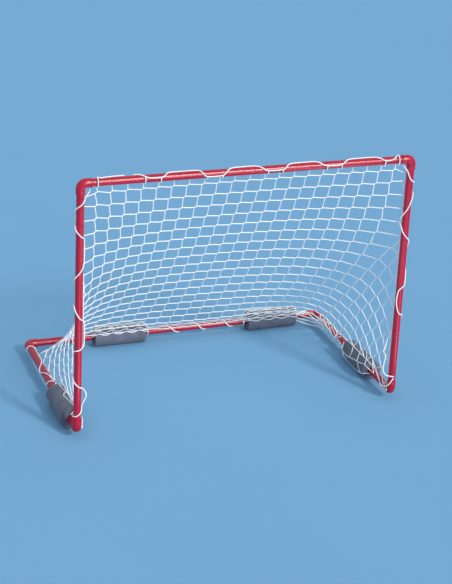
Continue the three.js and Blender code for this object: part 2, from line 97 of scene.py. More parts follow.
# Lacing routes: each pair is a place along the pipe in metres and the angle round it in degrees.
# Along the crossbar and rear rail the place is X, on the posts height, on the side rails the distance from the mouth.
CROSSBAR_ROUTE = (
    (-0.548, -60), (-0.544, 0), (-0.540, 70), (-0.532, 100), (-0.500, 88), (-0.480, 78), (-0.452, 72), (-0.443, 20),
    (-0.438, -52), (-0.426, -52), (-0.420, 20), (-0.412, 68), (-0.399, 85), (-0.385, 120), (-0.370, 150),
    (-0.345, 160), (-0.322, 158), (-0.308, 130), (-0.296, 92), (-0.244, 80), (-0.205, 84), (-0.190, 100),
    (-0.178, 150), (-0.165, 192), (-0.137, 198), (-0.109, 192), (-0.095, 150), (-0.072, 95), (-0.035, 80),
    (0.005, 84), (0.022, 105), (0.050, 170), (0.075, 178), (0.110, 172), (0.125, 130), (0.142, 95),
    (0.180, 80), (0.225, 84), (0.245, 120), (0.262, 160), (0.295, 172), (0.325, 165), (0.340, 130),
    (0.357, 95), (0.400, 80), (0.448, 84), (0.470, 115), (0.489, 158), (0.505, 162), (0.520, 150),
    (0.535, 110), (0.545, 60), (0.549, 0), (0.552, -60),
)
LEFT_POST_ROUTE = (
    (0.851, -28), (0.838, -60), (0.803, -200), (0.785, -232), (0.757, -205), (0.719, -90), (0.703, -32), (0.627, -32),
    (0.556, -200), (0.514, -330), (0.506, -374), (0.498, -330), (0.469, -200), (0.424, -90), (0.408, -32),
    (0.324, -32), (0.291, -200), (0.232, -262), (0.228, -276), (0.224, -262), (0.198, -200), (0.169, -90),
    (0.156, -34), (0.112, -34), (0.080, -40), (0.062, -90), (0.052, -200), (0.046, -300),
)
RIGHT_POST_ROUTE = (
    (0.856, -32), (0.830, -75), (0.814, -159), (0.801, -290), (0.793, -322), (0.785, -290), (0.770, -159),
    (0.718, -69), (0.690, -6), (0.668, 40), (0.646, 0), (0.620, -60), (0.589, -159), (0.560, -200),
    (0.500, -205), (0.465, -165), (0.431, -140), (0.405, -50), (0.363, -32), (0.321, -69), (0.304, -159),
    (0.260, -240), (0.174, -300), (0.162, -315), (0.154, -360), (0.146, -386), (0.119, -394), (0.075, -440),
    (0.058, -519), (0.046, -660),
)
LEFT_SIDE_ROUTE = (
    (0.666, 400), (0.655, 60), (0.600, 60), (0.540, 62), (0.505, 95), (0.463, 172), (0.418, 95), (0.378, 55),
    (0.369, -40), (0.361, -200), (0.353, -320),
)
RIGHT_SIDE_ROUTE = (
    (0.666, 400), (0.655, 60), (0.610, 60), (0.570, 110), (0.540, 190), (0.505, 100), (0.482, 55),
    (0.470, -40), (0.462, -200), (0.454, -320),
)
REAR_RAIL_ROUTE = (
    (-0.122, 215), (-0.108, -145), (-0.028, -325), (0.085, -685), (0.199, -1045), (0.268, -1300), (0.282, -1660),
)

# Leads of the post lacing: each point is how far it is inward from the post, to the rear of it and below the crossbar.
POST_LEADS = {
    LEFT: ((0.035, 0.004, 0.021), (0.027, -0.006, 0.031)),
    RIGHT: ((0.036, 0.004, 0.018), (0.026, -0.008, 0.027)),
}

# Loose spans of the post lacing: pairs of a height and how far toward the mouth's middle the cord hangs off the post
LOOSE_SPANS = {
    "left_post_lacing": ((0.096, 0), (0.132, 0.015), (0.168, 0)),
    "right_post_lacing": (
        (0.052, 0), (0.062, 0.010), (0.075, 0.032), (0.098, 0.035), (0.120, 0.028), (0.168, 0.019), (0.210, 0.016),
        (0.235, 0.008), (0.262, 0),
    ),
}

# The end of the right post's lacing, brought round the front of the elbow to the side rail: each point is how far it
# is inward from the post, forward of it and above the side rail.
RIGHT_FOOT_TURN = (
    (0.002, 0.0175, 0.058), (0.0085, 0.0180, 0.0500), (0.0150, 0.0150, 0.0370), (0.0205, 0.0110, 0.0285),
    (0.0275, 0.000, 0.0215), (0.0310, -0.020, 0.0170), (0.0250, -0.045, 0.010),
)

# Points between two stops of a slack strand
SLACK_SAMPLES = 6

# Facets round the net's twine and round the lacing
TWINE_SIDES = 6
LACING_SIDES = 10

# How far a row's end hangs down beside the post from where it is tied
FIRST_ROW_END_DROP = 0.030
ROW_END_DROP = 0.008

# Slack rows of netting that lie along the rear rail and its floats: from, to, and the angle round the rail in degrees.
REAR_SLACK_ROWS = (
    (-0.375, 0.560, 99), (-0.350, 0.545, 66),
    (-0.355, -0.110, 83), (-0.352, -0.112, 47), (-0.350, -0.120, 31),
    (0.265, 0.530, 112), (0.268, 0.522, 83), (0.265, 0.528, 51), (0.268, 0.540, 37), (0.272, 0.522, 22),
)

# Slack netting round the side rails and their floats: each strand's places along the rail and angles round it.
SIDE_SLACK = {
    LEFT: (
        ((0.300, 60), (0.283, 75), (0.240, 72), (0.200, 58), (0.165, 62), (0.120, 50), (0.078, 58)),
        ((0.300, 45), (0.270, 48), (0.225, 60), (0.190, 88), (0.160, 82), (0.110, 66), (0.075, 78), (0.068, 100)),
    ),
    RIGHT: (
        ((0.372, 20), (0.354, 7), (0.319, 3), (0.289, 9), (0.259, 19), (0.230, 26), (0.203, 33), (0.173, 43),
         (0.155, 40), (0.137, 41)),
        ((0.350, 2), (0.331, -30), (0.300, -48), (0.260, -46), (0.205, -22), (0.151, -4)),
        ((0.222, 27), (0.201, 3), (0.185, -13)),
        ((0.392, 60), (0.370, 40), (0.358, 6), (0.348, -12), (0.340, -30)),
        ((0.330, 95), (0.309, 62), (0.289, 36), (0.289, 9)),
        ((0.300, 118), (0.265, 78), (0.240, 49), (0.230, 26)),
        ((0.262, 115), (0.229, 94), (0.196, 71), (0.173, 43)),
        ((0.215, 112), (0.179, 98), (0.143, 68), (0.129, 41)),
        ((0.672, 128), (0.640, 92), (0.596, 60), (0.560, 20), (0.520, -20)),
        ((0.640, 128), (0.600, 96), (0.565, 62), (0.530, 25), (0.485, -15)),
        ((0.600, 128), (0.560, 92), (0.520, 58), (0.470, 20), (0.430, 0), (0.385, 5)),
        ((0.665, 25), (0.600, 5), (0.540, -8), (0.460, -4), (0.395, -12)),
        ((0.560, 125), (0.505, 118), (0.450, 105), (0.395, 100)),
    ),
}

# Selvage strands that cut the corner below the rear right elbow: each point in from the corner along the rear rail,
# forward of it along the side rail, and up from the rails' axes.
SELVAGE = (
    ((0.105, 0.040, 0.000), (0.060, 0.048, -0.018), (0.030, 0.082, -0.018), (0.021, 0.140, -0.006)),
    ((0.105, 0.038, 0.010), (0.055, 0.040, -0.008), (0.026, 0.072, -0.010), (0.019, 0.120, 0.006)),
    ((0.105, 0.030, 0.022), (0.050, 0.032, 0.002), (0.026, 0.052, 0.000), (0.018, 0.095, 0.010)),
)

# Columns whose tops come up in front of the crossbar and hook over the lacing, counted from the middle
HOOKED_COLUMNS = {-10: 95, -7: 135, -6: 158, -3: 190, -2: 192, 1: 168, 2: 172, 5: 150, 6: 165, 9: 158, 10: 90}


class GoalPipeSizes(PropertyGroup):
    """Sizes and colour of the pipes and their elbows."""

    diameter: FloatProperty(
        name="Pipe diameter", description="Outside diameter of the pipe", default=0.0267, unit="LENGTH"
    )
    wall: FloatProperty(name="Pipe wall", description="Thickness of the pipe's wall", default=0.0029, unit="LENGTH")
    elbow_diameter: FloatProperty(
        name="Elbow diameter", description="Outside diameter of an elbow's sockets", default=0.0316, unit="LENGTH"
    )
    elbow_reach: FloatProperty(
        name="Elbow reach", description="From the corner to the mouth of a socket", default=0.0381, unit="LENGTH"
    )
    socket_depth: FloatProperty(
        name="Socket depth", description="How far a pipe goes into an elbow", default=0.020, unit="LENGTH"
    )
    bend_radius: FloatProperty(
        name="Bend radius", description="Radius of the elbow's bend at its axis", default=0.0176, unit="LENGTH"
    )
    seat_gap: FloatProperty(
        name="Seat gap", description="Room between a pipe and its socket", default=0.0003, unit="LENGTH"
    )
    rim_radius: FloatProperty(
        name="Rim rounding", description="Rounding of the socket and pipe rims", default=0.0006, unit="LENGTH"
    )
    sides: IntProperty(name="Sides", description="Facets round a pipe", default=48, min=12)
    bend_steps: IntProperty(name="Bend steps", description="Facets along an elbow's bend", default=12, min=4)
    colour: FloatVectorProperty(
        name="Plastic colour", description="Red of the pipe", default=(0.445, 0.003, 0.028), subtype="COLOR"
    )


class GoalFloatSizes(PropertyGroup):
    """Sizes and colour of the foam floats."""

    diameter: FloatProperty(
        name="Float diameter", description="Outside diameter of a foam tube", default=0.076, unit="LENGTH"
    )
    bore_gap: FloatProperty(
        name="Bore gap", description="Room between the pipe and the foam", default=0.0005, unit="LENGTH"
    )
    edge_radius: FloatProperty(
        name="Edge rounding", description="Softness of the cut edges", default=0.0012, unit="LENGTH"
    )
    unevenness: FloatProperty(
        name="Unevenness", description="Depth of the shallow dents", default=0.0006, unit="LENGTH"
    )
    sides: IntProperty(name="Sides", description="Facets round a float", default=64, min=16)
    lengths: IntProperty(name="Lengths", description="Facets along a float", default=40, min=4)
    colour: FloatVectorProperty(
        name="Foam colour", description="Grey of the foam", default=(0.143, 0.156, 0.208), subtype="COLOR"
    )


class GoalNetSizes(PropertyGroup):
    """Sizes and colour of the net and the cord that laces it."""

    twine: FloatProperty(name="Twine", description="Diameter of the net's twine", default=0.0038, unit="LENGTH")
    edge_twine: FloatProperty(
        name="Edge twine", description="Diameter of the cord along the net's edge", default=0.0038, unit="LENGTH"
    )
    solid_twine: FloatProperty(
        name="Solid twine", description="Twine diameter that the solid net is set out with", default=0.0038,
        unit="LENGTH",
    )
    joint: FloatProperty(
        name="Joint length", description="Length of a knotless joint", default=0.010, unit="LENGTH"
    )
    first_row_drop: FloatProperty(
        name="First row", description="From the net's top edge to its first row", default=0.035, unit="LENGTH"
    )
    flap_start: FloatProperty(
        name="Flap start", description="Down the sheet to the top of a side flap", default=0.400, unit="LENGTH"
    )
    flap_start_drop: FloatProperty(
        name="Flap drop", description="Down the post to the top of a side flap", default=0.310, unit="LENGTH"
    )
    flap_rear_end: FloatProperty(
        name="Flap rear end", description="From the mouth to the flap's rear corner", default=0.620, unit="LENGTH"
    )
    free_corner: FloatProperty(
        name="Free corner", description="Rear rail that the net leaves bare at the left", default=0.150, unit="LENGTH"
    )
    slack_share: FloatProperty(
        name="Slack", description="Sheet length as a share of the straight line", default=1.0108, subtype="FACTOR"
    )
    columns: IntProperty(name="Columns", description="Meshes across the mouth", default=22, min=2)
    rows: IntProperty(name="Rows", description="Meshes down the sheet", default=17, min=2)
    cross_pull_share: FloatProperty(
        name="Cross pull", description="Pull along the rows as a share of that down the columns", default=0.25
    )
    weight_share: FloatProperty(
        name="Weight", description="Weight of a knot as a share of the pull", default=0.01
    )
    join_share: FloatProperty(
        name="Join", description="Share of a mesh below which two knots at the edge are one", default=0.3
    )
    lacing: FloatProperty(name="Lacing", description="Diameter of the lacing cord", default=0.0042, unit="LENGTH")
    net_gap: FloatProperty(
        name="Net gap", description="Room between the net's edge and the pipes", default=0.0006, unit="LENGTH"
    )
    cord_gap: FloatProperty(
        name="Cord gap", description="Room between the lacing and the pipes", default=0.0003, unit="LENGTH"
    )
    colour: FloatVectorProperty(
        name="Twine colour", description="White of the net's twine", default=(0.93, 0.94, 0.96), subtype="COLOR"
    )
    lacing_colour: FloatVectorProperty(
        name="Lacing colour", description="White of the lacing cord", default=(0.93, 0.92, 0.90), subtype="COLOR"
    )


class GoalStageSettings(PropertyGroup):
    """The floor, the lamps and the camera."""

    floor_colour: FloatVectorProperty(
        name="Floor colour", description="Pale colour of the floor", default=(0.200, 0.420, 0.645), subtype="COLOR"
    )
    floor_size: FloatProperty(name="Floor size", description="Side of the floor", default=60.0, unit="LENGTH")
    sun_strength: FloatProperty(name="Sun", description="Strength of the main light", default=1.8)
    sun_softness: FloatProperty(
        name="Sun softness", description="Width of the main light in the sky", default=math.radians(8),
        subtype="ANGLE",
    )
    sun_aim: FloatVectorProperty(
        name="Sun aim", description="Direction in which the main light shines", default=(-0.33, 0.76, -0.56),
        subtype="DIRECTION",
    )
    front_strength: FloatProperty(name="Front light", description="Strength of the low front light", default=0.7)
    front_softness: FloatProperty(
        name="Front softness", description="Width of the low front light", default=math.radians(14), subtype="ANGLE"
    )
    front_aim: FloatVectorProperty(
        name="Front aim", description="Direction in which the front light shines", default=(-0.28, 0.95, -0.14),
        subtype="DIRECTION",
    )
    low_strength: FloatProperty(name="Low lights", description="Power of each low light", default=5.7)
    low_size: FloatVectorProperty(
        name="Low light size", description="Width and depth of each low light", size=2, default=(0.22, 2.00),
        unit="LENGTH",
    )
    low_distance: FloatProperty(
        name="Low light distance", description="From a post to the middle of its low light", default=1.30,
        unit="LENGTH",
    )
    low_offset: FloatProperty(
        name="Low light offset", description="How far each low light lies to the right of its post", default=0.15,
        unit="LENGTH",
    )
    low_height: FloatProperty(
        name="Low light height", description="How far each low light lies above the floor", default=0.004,
        unit="LENGTH",
    )
    lamp_colour: FloatVectorProperty(
        name="Lamp colour", description="Warm white of the lamps", default=(1.0, 0.97, 0.93), subtype="COLOR"
    )
    sky_strength: FloatProperty(name="Sky", description="Strength of the even light all round", default=0.68)
    sky_colour: FloatVectorProperty(
        name="Sky colour", description="Cool white of the even light", default=(0.80, 0.90, 1.0), subtype="COLOR"
    )
    camera_place: FloatVectorProperty(
        name="Camera", description="Where the camera stands", default=(-1.977, -5.357, 2.774), subtype="TRANSLATION"
    )
    camera_aim: FloatVectorProperty(
        name="Aim", description="Direction in which the camera looks", default=(0.3311, 0.8709, -0.3632),
        subtype="DIRECTION",
    )
    camera_roll: FloatProperty(
        name="Roll", description="Tilt of the camera about its aim", default=math.radians(2.80), subtype="ANGLE"
    )
    lens: FloatProperty(name="Lens", description="Focal length in millimetres", default=133.77)
    sensor_width: FloatProperty(name="Sensor", description="Width of the sensor in millimetres", default=36.0)
    shift_y: FloatProperty(name="Shift", description="Upward shift as a share of the width", default=-0.115)


# Finishes

def finish_named(name):
    """An empty node material and its shader."""
    material = bpy.data.materials.new(name)
    material.use_nodes = True
    return material, material.node_tree.nodes["Principled BSDF"]


def add_node(material, kind, **settings):
    """A new node of a material, with its settings."""
    node = material.node_tree.nodes.new(kind)
    for key, value in settings.items():
        setattr(node, key, value)
    return node


def link(material, source, target):
    """Joins an output socket to an input socket."""
    material.node_tree.links.new(source, target)


def object_noise(material, scale, detail=3.0, stretch=(1, 1, 1)):
    """Noise on the piece's own coordinates, in features per metre."""
    place = add_node(material, "ShaderNodeTexCoord")
    mapping = add_node(material, "ShaderNodeMapping")
    mapping.inputs["Scale"].default_value = stretch
    texture = add_node(material, "ShaderNodeTexNoise")
    texture.inputs["Scale"].default_value = scale
    texture.inputs["Detail"].default_value = detail
    link(material, place.outputs["Object"], mapping.inputs["Vector"])
    link(material, mapping.outputs["Vector"], texture.inputs["Vector"])
    return texture.outputs["Fac"]


def ramp(material, factor, stops):
    """Colours at positions along a factor."""
    node = add_node(material, "ShaderNodeValToRGB")
    elements = node.color_ramp.elements
    while len(elements) < len(stops):
        elements.new(0.5)
    for element, (position, colour) in zip(elements, stops):
        element.position = position
        element.color = (*colour, 1)
    link(material, factor, node.inputs["Fac"])
    return node.outputs["Color"]


def rescale(material, factor, low, high):
    """A factor from 0 to 1 spread between two values."""
    node = add_node(material, "ShaderNodeMapRange")
    node.inputs["To Min"].default_value = low
    node.inputs["To Max"].default_value = high
    link(material, factor, node.inputs["Value"])
    return node.outputs["Result"]


def multiplied(material, first, second):
    """Two colours multiplied."""
    colour_a, colour_b, colour_result = 6, 7, 2
    mix = add_node(material, "ShaderNodeMix", data_type="RGBA", blend_type="MULTIPLY")
    mix.inputs["Factor"].default_value = 1.0
    link(material, first, mix.inputs[colour_a])
    link(material, second, mix.inputs[colour_b])
    return mix.outputs[colour_result]


def bump(material, shader, height, distance, strength=1.0, normal=None):
    """Raises the surface by a height, over another bump where one is given."""
    node = add_node(material, "ShaderNodeBump")
    node.inputs["Distance"].default_value = distance
    node.inputs["Strength"].default_value = strength
    link(material, height, node.inputs["Height"])
    if normal:
        link(material, normal, node.inputs["Normal"])
    link(material, node.outputs["Normal"], shader.inputs["Normal"])
    return node.outputs["Normal"]


def shade(colour, share):
    """A colour made darker or lighter by a share."""
    return tuple(min(channel * share, 1.0) for channel in colour)


def pvc_finish(name, colour, stretch, ripple):
    """Glossy red PVC: drawn streaks, faint clouding and a lightly rippled skin."""
    material, shader = finish_named(name)
    streaks = object_noise(material, scale=6.0, detail=4.0, stretch=stretch)
    colours = ((0.30, shade(colour, 0.88)), (0.52, colour), (0.75, shade(colour, 1.10)))
    link(material, ramp(material, streaks, colours), shader.inputs["Base Color"])
    scuffs = object_noise(material, scale=45.0, detail=5.0)
    link(material, rescale(material, scuffs, low=0.25, high=0.29), shader.inputs["Roughness"])
    ripples = object_noise(material, scale=ripple, detail=2.0)
    bump(material, shader, ripples, distance=0.0004, strength=0.025)
    shader.inputs["Specular IOR Level"].default_value = 0.5
    shader.inputs["Coat Weight"].default_value = 0.05
    shader.inputs["Coat Roughness"].default_value = 0.12
    return material


def foam_finish(name, colour):
    """Closed-cell foam: fine cells, blotches and a dull skin."""
    material, shader = finish_named(name)
    blotches = object_noise(material, scale=24.0, detail=4.0)
    place = add_node(material, "ShaderNodeTexCoord")
    cells = add_node(material, "ShaderNodeTexVoronoi", feature="SMOOTH_F1")
    cells.inputs["Scale"].default_value = 420.0
    link(material, place.outputs["Object"], cells.inputs["Vector"])
    tones = ramp(
        material, blotches, ((0.30, shade(colour, 0.80)), (0.50, colour), (0.72, shade(colour, 1.22)))
    )
    pores = ramp(material, cells.outputs["Distance"], ((0.0, (1, 1, 1)), (0.75, (0.80, 0.80, 0.80))))
    link(material, multiplied(material, tones, pores), shader.inputs["Base Color"])
    link(material, rescale(material, blotches, low=0.78, high=0.95), shader.inputs["Roughness"])
    lumps = object_noise(material, scale=160.0, detail=3.0)
    coarse = bump(material, shader, lumps, distance=0.0010, strength=0.35)
    bump(material, shader, cells.outputs["Distance"], distance=0.0006, strength=0.5, normal=coarse)
    shader.inputs["Specular IOR Level"].default_value = 0.3
    shader.inputs["Sheen Weight"].default_value = 0.1
    return material


def cord_finish(name, colour, waves_per_metre, waves_round):
    """Braided white cord: strands crossing both ways round the cord, with painted shade in the grooves between them and
    soft soiling along it.
    """
    one_wave_per_unit = 0.62832
    material, shader = finish_named(name)
    flat = add_node(material, "ShaderNodeUVMap", uv_map="Braid")
    heights = []
    for hand in (1, -1):
        mapping = add_node(material, "ShaderNodeMapping")
        mapping.inputs["Scale"].default_value = (hand * waves_round, waves_per_metre, 1)
        link(material, flat.outputs["UV"], mapping.inputs["Vector"])
        wave = add_node(material, "ShaderNodeTexWave", wave_type="BANDS", bands_direction="DIAGONAL")
        wave.inputs["Scale"].default_value = one_wave_per_unit
        link(material, mapping.outputs["Vector"], wave.inputs["Vector"])
        heights.append(wave.outputs["Fac"])
    braid = add_node(material, "ShaderNodeMath", operation="MULTIPLY")
    link(material, heights[0], braid.inputs[0])
    link(material, heights[1], braid.inputs[1])
    # The braid's grooves between the strands are painted 10% darker: this is painted shade, not a colour of the cord.
    tones = ramp(material, braid.outputs["Value"], ((0.0, shade(colour, 0.90)), (0.35, colour), (1.0, colour)))
    patches = object_noise(material, scale=30.0, detail=4.0)
    soil = ramp(material, patches, ((0.30, (0.95, 0.96, 0.97)), (0.62, (1, 1, 1))))
    link(material, multiplied(material, tones, soil), shader.inputs["Base Color"])
    bump(material, shader, braid.outputs["Value"], distance=0.0005, strength=0.4)
    shader.inputs["Roughness"].default_value = 0.62
    shader.inputs["Subsurface Weight"].default_value = 0.6
    shader.inputs["Subsurface Radius"].default_value = (1.0, 1.0, 1.0)
    shader.inputs["Subsurface Scale"].default_value = 0.003
    return material


def floor_finish(name, colour):
    """A plain matt floor."""
    material, shader = finish_named(name)
    clouds = object_noise(material, scale=0.8, detail=2.0)
    tones = ramp(material, clouds, ((0.3, shade(colour, 0.99)), (0.7, shade(colour, 1.01))))
    link(material, tones, shader.inputs["Base Color"])
    shader.inputs["Roughness"].default_value = 0.9
    shader.inputs["Specular IOR Level"].default_value = 0.1
    return material


# Making pieces

def add_piece(name, mesh, material, body, sharp_angle=math.radians(40)):
    """Links a mesh as a finished piece of the goal that rides on a body."""
    mesh.materials.clear()
    mesh.materials.append(material)
    mesh.shade_smooth()
    if sharp_angle:
        mesh.set_sharp_from_angle(angle=sharp_angle)
    piece = bpy.data.objects.new(name, mesh)
    bpy.context.scene.collection.objects.link(piece)
    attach(piece, body)
    return piece


def mesh_from(bm, name):
    """A mesh made from a bmesh, which is freed."""
    mesh = bpy.data.meshes.new(name)
    bm.to_mesh(mesh)
    bm.free()
    return mesh


def verts_of(geometry):
    """The vertices among the parts that a bmesh operator made."""
    return [item for item in geometry if isinstance(item, bmesh.types.BMVert)]


def edges_of(geometry):
    """The edges among the parts that a bmesh operator made."""
    return [item for item in geometry if isinstance(item, bmesh.types.BMEdge)]


def along_axis(letter):
    """Turns the Z axis onto X, Y or Z."""
    direction = {"X": Vector((1, 0, 0)), "Y": Vector((0, 1, 0)), "Z": Vector((0, 0, 1))}[letter]
    return Vector((0, 0, 1)).rotation_difference(direction).to_matrix().to_4x4()


def ring_edges(bm, radius, height):
    """The edges of a circle round the Z axis at a radius and a height."""
    def on_ring(vert):
        near = abs(vert.co.z - height) < MERGE_DISTANCE
        return near and abs(vert.co.xy.length - radius) < MERGE_DISTANCE

    return [edge for edge in bm.edges if all(on_ring(vert) for vert in edge.verts)]


def tube(outer, inner, length, sides, lengths, rim):
    """A hollow tube on the Z axis, centred on the origin, with its rims rounded.

    A ring of vertices a little way in from each rim keeps the shading of the skin straight.
    """
    bm = bmesh.new()
    rims_in = 3
    half = length / 2
    straight = half - rims_in * rim
    rises = [-half] + [straight * (2 * step / lengths - 1) for step in range(lengths + 1)] + [half]
    outline = [(inner, z) for z in reversed(rises)] + [(outer, z) for z in rises]
    verts = [bm.verts.new((radius, 0, z)) for radius, z in outline]
    edges = [bm.edges.new((verts[count - 1], vert)) for count, vert in enumerate(verts)]
    bmesh.ops.spin(
        bm, geom=verts + edges, cent=(0, 0, 0), axis=(0, 0, 1), angle=FULL_TURN, steps=sides, use_merge=True
    )
    bmesh.ops.recalc_face_normals(bm, faces=bm.faces)
    rims = [edge for radius in (outer, inner) for z in (-half, half) for edge in ring_edges(bm, radius, z)]
    bmesh.ops.bevel(
        bm, geom=rims, offset=rim, offset_type="OFFSET", affect="EDGES", segments=2, profile=0.5, material=-1
    )
    return bm


def bent_skin(bm, radius, reach, sizes):
    """A skin round a quarter bend with straight legs along X and Y. Returns its two end rings."""
    bend = sizes.bend_radius
    facing_x = Matrix.Translation((reach, 0, 0)) @ Matrix.Rotation(QUARTER_TURN, 4, "Y")
    ring = bmesh.ops.create_circle(
        bm, cap_ends=False, radius=radius, segments=sizes.sides, matrix=facing_x
    )["verts"]
    first = list({edge for vert in ring for edge in vert.link_edges})
    leg = bmesh.ops.extrude_edge_only(bm, edges=first)["geom"]
    verts = verts_of(leg)
    bmesh.ops.translate(bm, verts=verts, vec=(bend - reach, 0, 0))
    edges = edges_of(leg)
    turned = bmesh.ops.spin(
        bm, geom=verts + edges, cent=(bend, bend, 0), axis=(0, 0, 1), angle=-QUARTER_TURN, steps=sizes.bend_steps
    )["geom_last"]
    edges = edges_of(turned)
    last = bmesh.ops.extrude_edge_only(bm, edges=edges)["geom"]
    verts = verts_of(last)
    bmesh.ops.translate(bm, verts=verts, vec=(0, reach - bend, 0))
    second = edges_of(last)
    return first, second


def socket(bm, rim, direction, sizes):
    """Turns an elbow's end ring inwards to the bore of its socket. Returns the ring at the socket's foot."""
    centre = direction * sizes.elbow_reach
    bore = sizes.diameter / 2 + sizes.seat_gap
    share = bore / (sizes.elbow_diameter / 2)
    face = bmesh.ops.extrude_edge_only(bm, edges=rim)["geom"]
    verts = verts_of(face)
    bmesh.ops.scale(bm, verts=verts, vec=(share, share, share), space=Matrix.Translation(-centre))
    mouth = edges_of(face)
    wall = bmesh.ops.extrude_edge_only(bm, edges=mouth)["geom"]
    verts = verts_of(wall)
    bmesh.ops.translate(bm, verts=verts, vec=-direction * sizes.socket_depth)
    return mouth, edges_of(wall)


def elbow_mesh(name, corner, first_way, second_way, sizes):
    """An elbow with a smooth round bend outside, two sockets and the waterway between them."""
    bm = bmesh.new()
    stop = sizes.elbow_reach - sizes.socket_depth
    outside = bent_skin(bm, sizes.elbow_diameter / 2, sizes.elbow_reach, sizes)
    waterway = bent_skin(bm, sizes.diameter / 2 - sizes.wall, stop, sizes)
    rims = list(outside[0]) + list(outside[1])
    for rim, direction, passage in zip(outside, (Vector((1, 0, 0)), Vector((0, 1, 0))), waterway):
        mouth, foot = socket(bm, rim, direction, sizes)
        rims += mouth
        bmesh.ops.bridge_loops(bm, edges=foot + list(passage))
    bmesh.ops.bevel(
        bm, geom=rims, offset=sizes.rim_radius, offset_type="OFFSET", affect="EDGES", segments=3, profile=0.5,
        material=-1,
    )
    turn = Matrix((first_way, second_way, first_way.cross(second_way))).transposed().to_4x4()
    bmesh.ops.transform(bm, matrix=Matrix.Translation(corner) @ turn, verts=bm.verts)
    bmesh.ops.recalc_face_normals(bm, faces=bm.faces)
    return mesh_from(bm, name)


def float_mesh(name, node, letter, sizes, pipe_diameter):
    """A foam tube with shallow dents in its skin and softened cut edges."""
    low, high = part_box(node)
    length = (high - low)["XYZ".index(letter)]
    outer = sizes.diameter / 2
    bore = pipe_diameter / 2 + sizes.bore_gap
    bm = tube(outer, bore, length, sizes.sides, sizes.lengths, sizes.edge_radius)
    seat = Vector((len(name), 0, 0))
    dents_per_metre = 28.0
    for vert in bm.verts:
        radius = vert.co.xy.length
        if radius > (outer + bore) / 2:
            depth = sizes.unevenness * (0.5 + 0.5 * noise.noise(vert.co * dents_per_metre + seat))
            vert.co.xy *= 1 - depth / radius
    place = Matrix.Translation((low + high) / 2) @ along_axis(letter)
    bmesh.ops.transform(bm, matrix=place, verts=bm.verts)
    return mesh_from(bm, name)


def braid_map(mesh, ring_lengths, sides):
    """Lays the UV map of cords: once across the map round a cord, and metres along it."""
    corner_verts = np.zeros(len(mesh.loops), np.int32)
    mesh.loops.foreach_get("vertex_index", corner_verts)
    starts = np.zeros(len(mesh.polygons), np.int32)
    totals = np.zeros(len(mesh.polygons), np.int32)
    mesh.polygons.foreach_get("loop_start", starts)
    mesh.polygons.foreach_get("loop_total", totals)
    around = corner_verts % sides
    flat = np.stack([around / sides, ring_lengths[corner_verts // sides]], axis=1)
    for start in starts[totals == 4]:
        quad = slice(start, start + 4)
        if {0, sides - 1} <= set(around[quad]):
            flat[quad, 0] += around[quad] == 0
    while mesh.uv_layers:
        mesh.uv_layers.remove(mesh.uv_layers[0])
    layer = mesh.uv_layers.new(name="Braid")
    layer.data.foreach_set("uv", flat.ravel())


def cord_mesh(name, strands, sides):
    """One mesh of round cords. Each strand is its points and its radius at each of them."""
    curve = bpy.data.curves.new(name, "CURVE")
    curve.dimensions = "3D"
    curve.bevel_depth = 1.0
    curve.bevel_resolution = sides // 2 - 2
    lengths = []
    for points, radii in strands:
        spline = curve.splines.new("POLY")
        spline.points.add(len(points) - 1)
        spline.points.foreach_set("co", np.column_stack([points, np.ones(len(points))]).ravel())
        spline.points.foreach_set("radius", radii)
        steps = np.linalg.norm(np.diff(points, axis=0), axis=1)
        lengths.append(np.concatenate([[0], np.cumsum(steps)]))
    holder = bpy.data.objects.new(name, curve)
    mesh = bpy.data.meshes.new_from_object(holder)
    bpy.data.objects.remove(holder)
    bpy.data.curves.remove(curve)
    braid_map(mesh, np.concatenate(lengths), sides)
    close_ends(mesh, sides)
    return mesh


def close_ends(mesh, sides):
    """Closes the open ends of the cords in a mesh."""
    bm = bmesh.new()
    bm.from_mesh(mesh)
    bmesh.ops.holes_fill(bm, edges=[edge for edge in bm.edges if edge.is_boundary], sides=sides)
    bmesh.ops.recalc_face_normals(bm, faces=bm.faces)
    bm.to_mesh(mesh)
    bm.free()


def round_ends(points, radius):
    """A strand of one radius with its two ends rounded off."""
    end_share = 0.55
    radii = np.full(len(points), radius)
    radii[[0, -1]] = radius * end_share
    return points, radii


# Directions round a pipe

class PipeAxis:
    """A pipe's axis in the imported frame: a point on it, its direction, and 0 and 90 degrees round it."""

    def __init__(self, origin, along, zero, quarter):
        self.origin = np.array(origin, float) + (0, MOUTH_Y, RAIL_Z)
        self.along = np.array(along, float)
        self.zero = np.array(zero, float)
        self.quarter = np.array(quarter, float)

    def place(self, along, radius, degrees):
        """Points at places along the pipe, at a radius and an angle round it."""
        angle = np.radians(np.asarray(degrees, float))[..., None]
        radius = np.asarray(radius, float)[..., None]
        along = np.asarray(along, float)[..., None]
        round_it = radius * (self.zero * np.cos(angle) + self.quarter * np.sin(angle))
        return self.origin + self.along * along + round_it


CROSSBAR = PipeAxis((0, 0, BAR_HEIGHT), (1, 0, 0), (0, 1, 0), (0, 0, 1))
REAR_RAIL = PipeAxis((0, REAR_DEPTH, 0), (1, 0, 0), (0, -1, 0), (0, 0, 1))
POSTS = {side: PipeAxis((side * POST_X, 0, 0), (0, 0, 1), (-side, 0, 0), (0, 1, 0)) for side in (LEFT, RIGHT)}
SIDE_RAILS = {side: PipeAxis((side * POST_X, 0, 0), (0, 1, 0), (-side, 0, 0), (0, 0, 1)) for side in (LEFT, RIGHT)}

CROSSBAR_EDGE_ANGLE = -60
# Round each post the net's edge turns with height: pairs of a height and the angle there
POST_EDGE_ANGLES = {
    LEFT: ((0.02, 0), (0.06, 110), (0.24, 120), (0.31, 0), (0.50, 0), (0.60, 50)),
    RIGHT: ((0.00, 0), (0.03, 60), (0.12, 50)),
}
SIDE_RAIL_EDGE_ANGLE = 0
SIDE_FLOAT_EDGE_ANGLES = {LEFT: 55, RIGHT: 70}
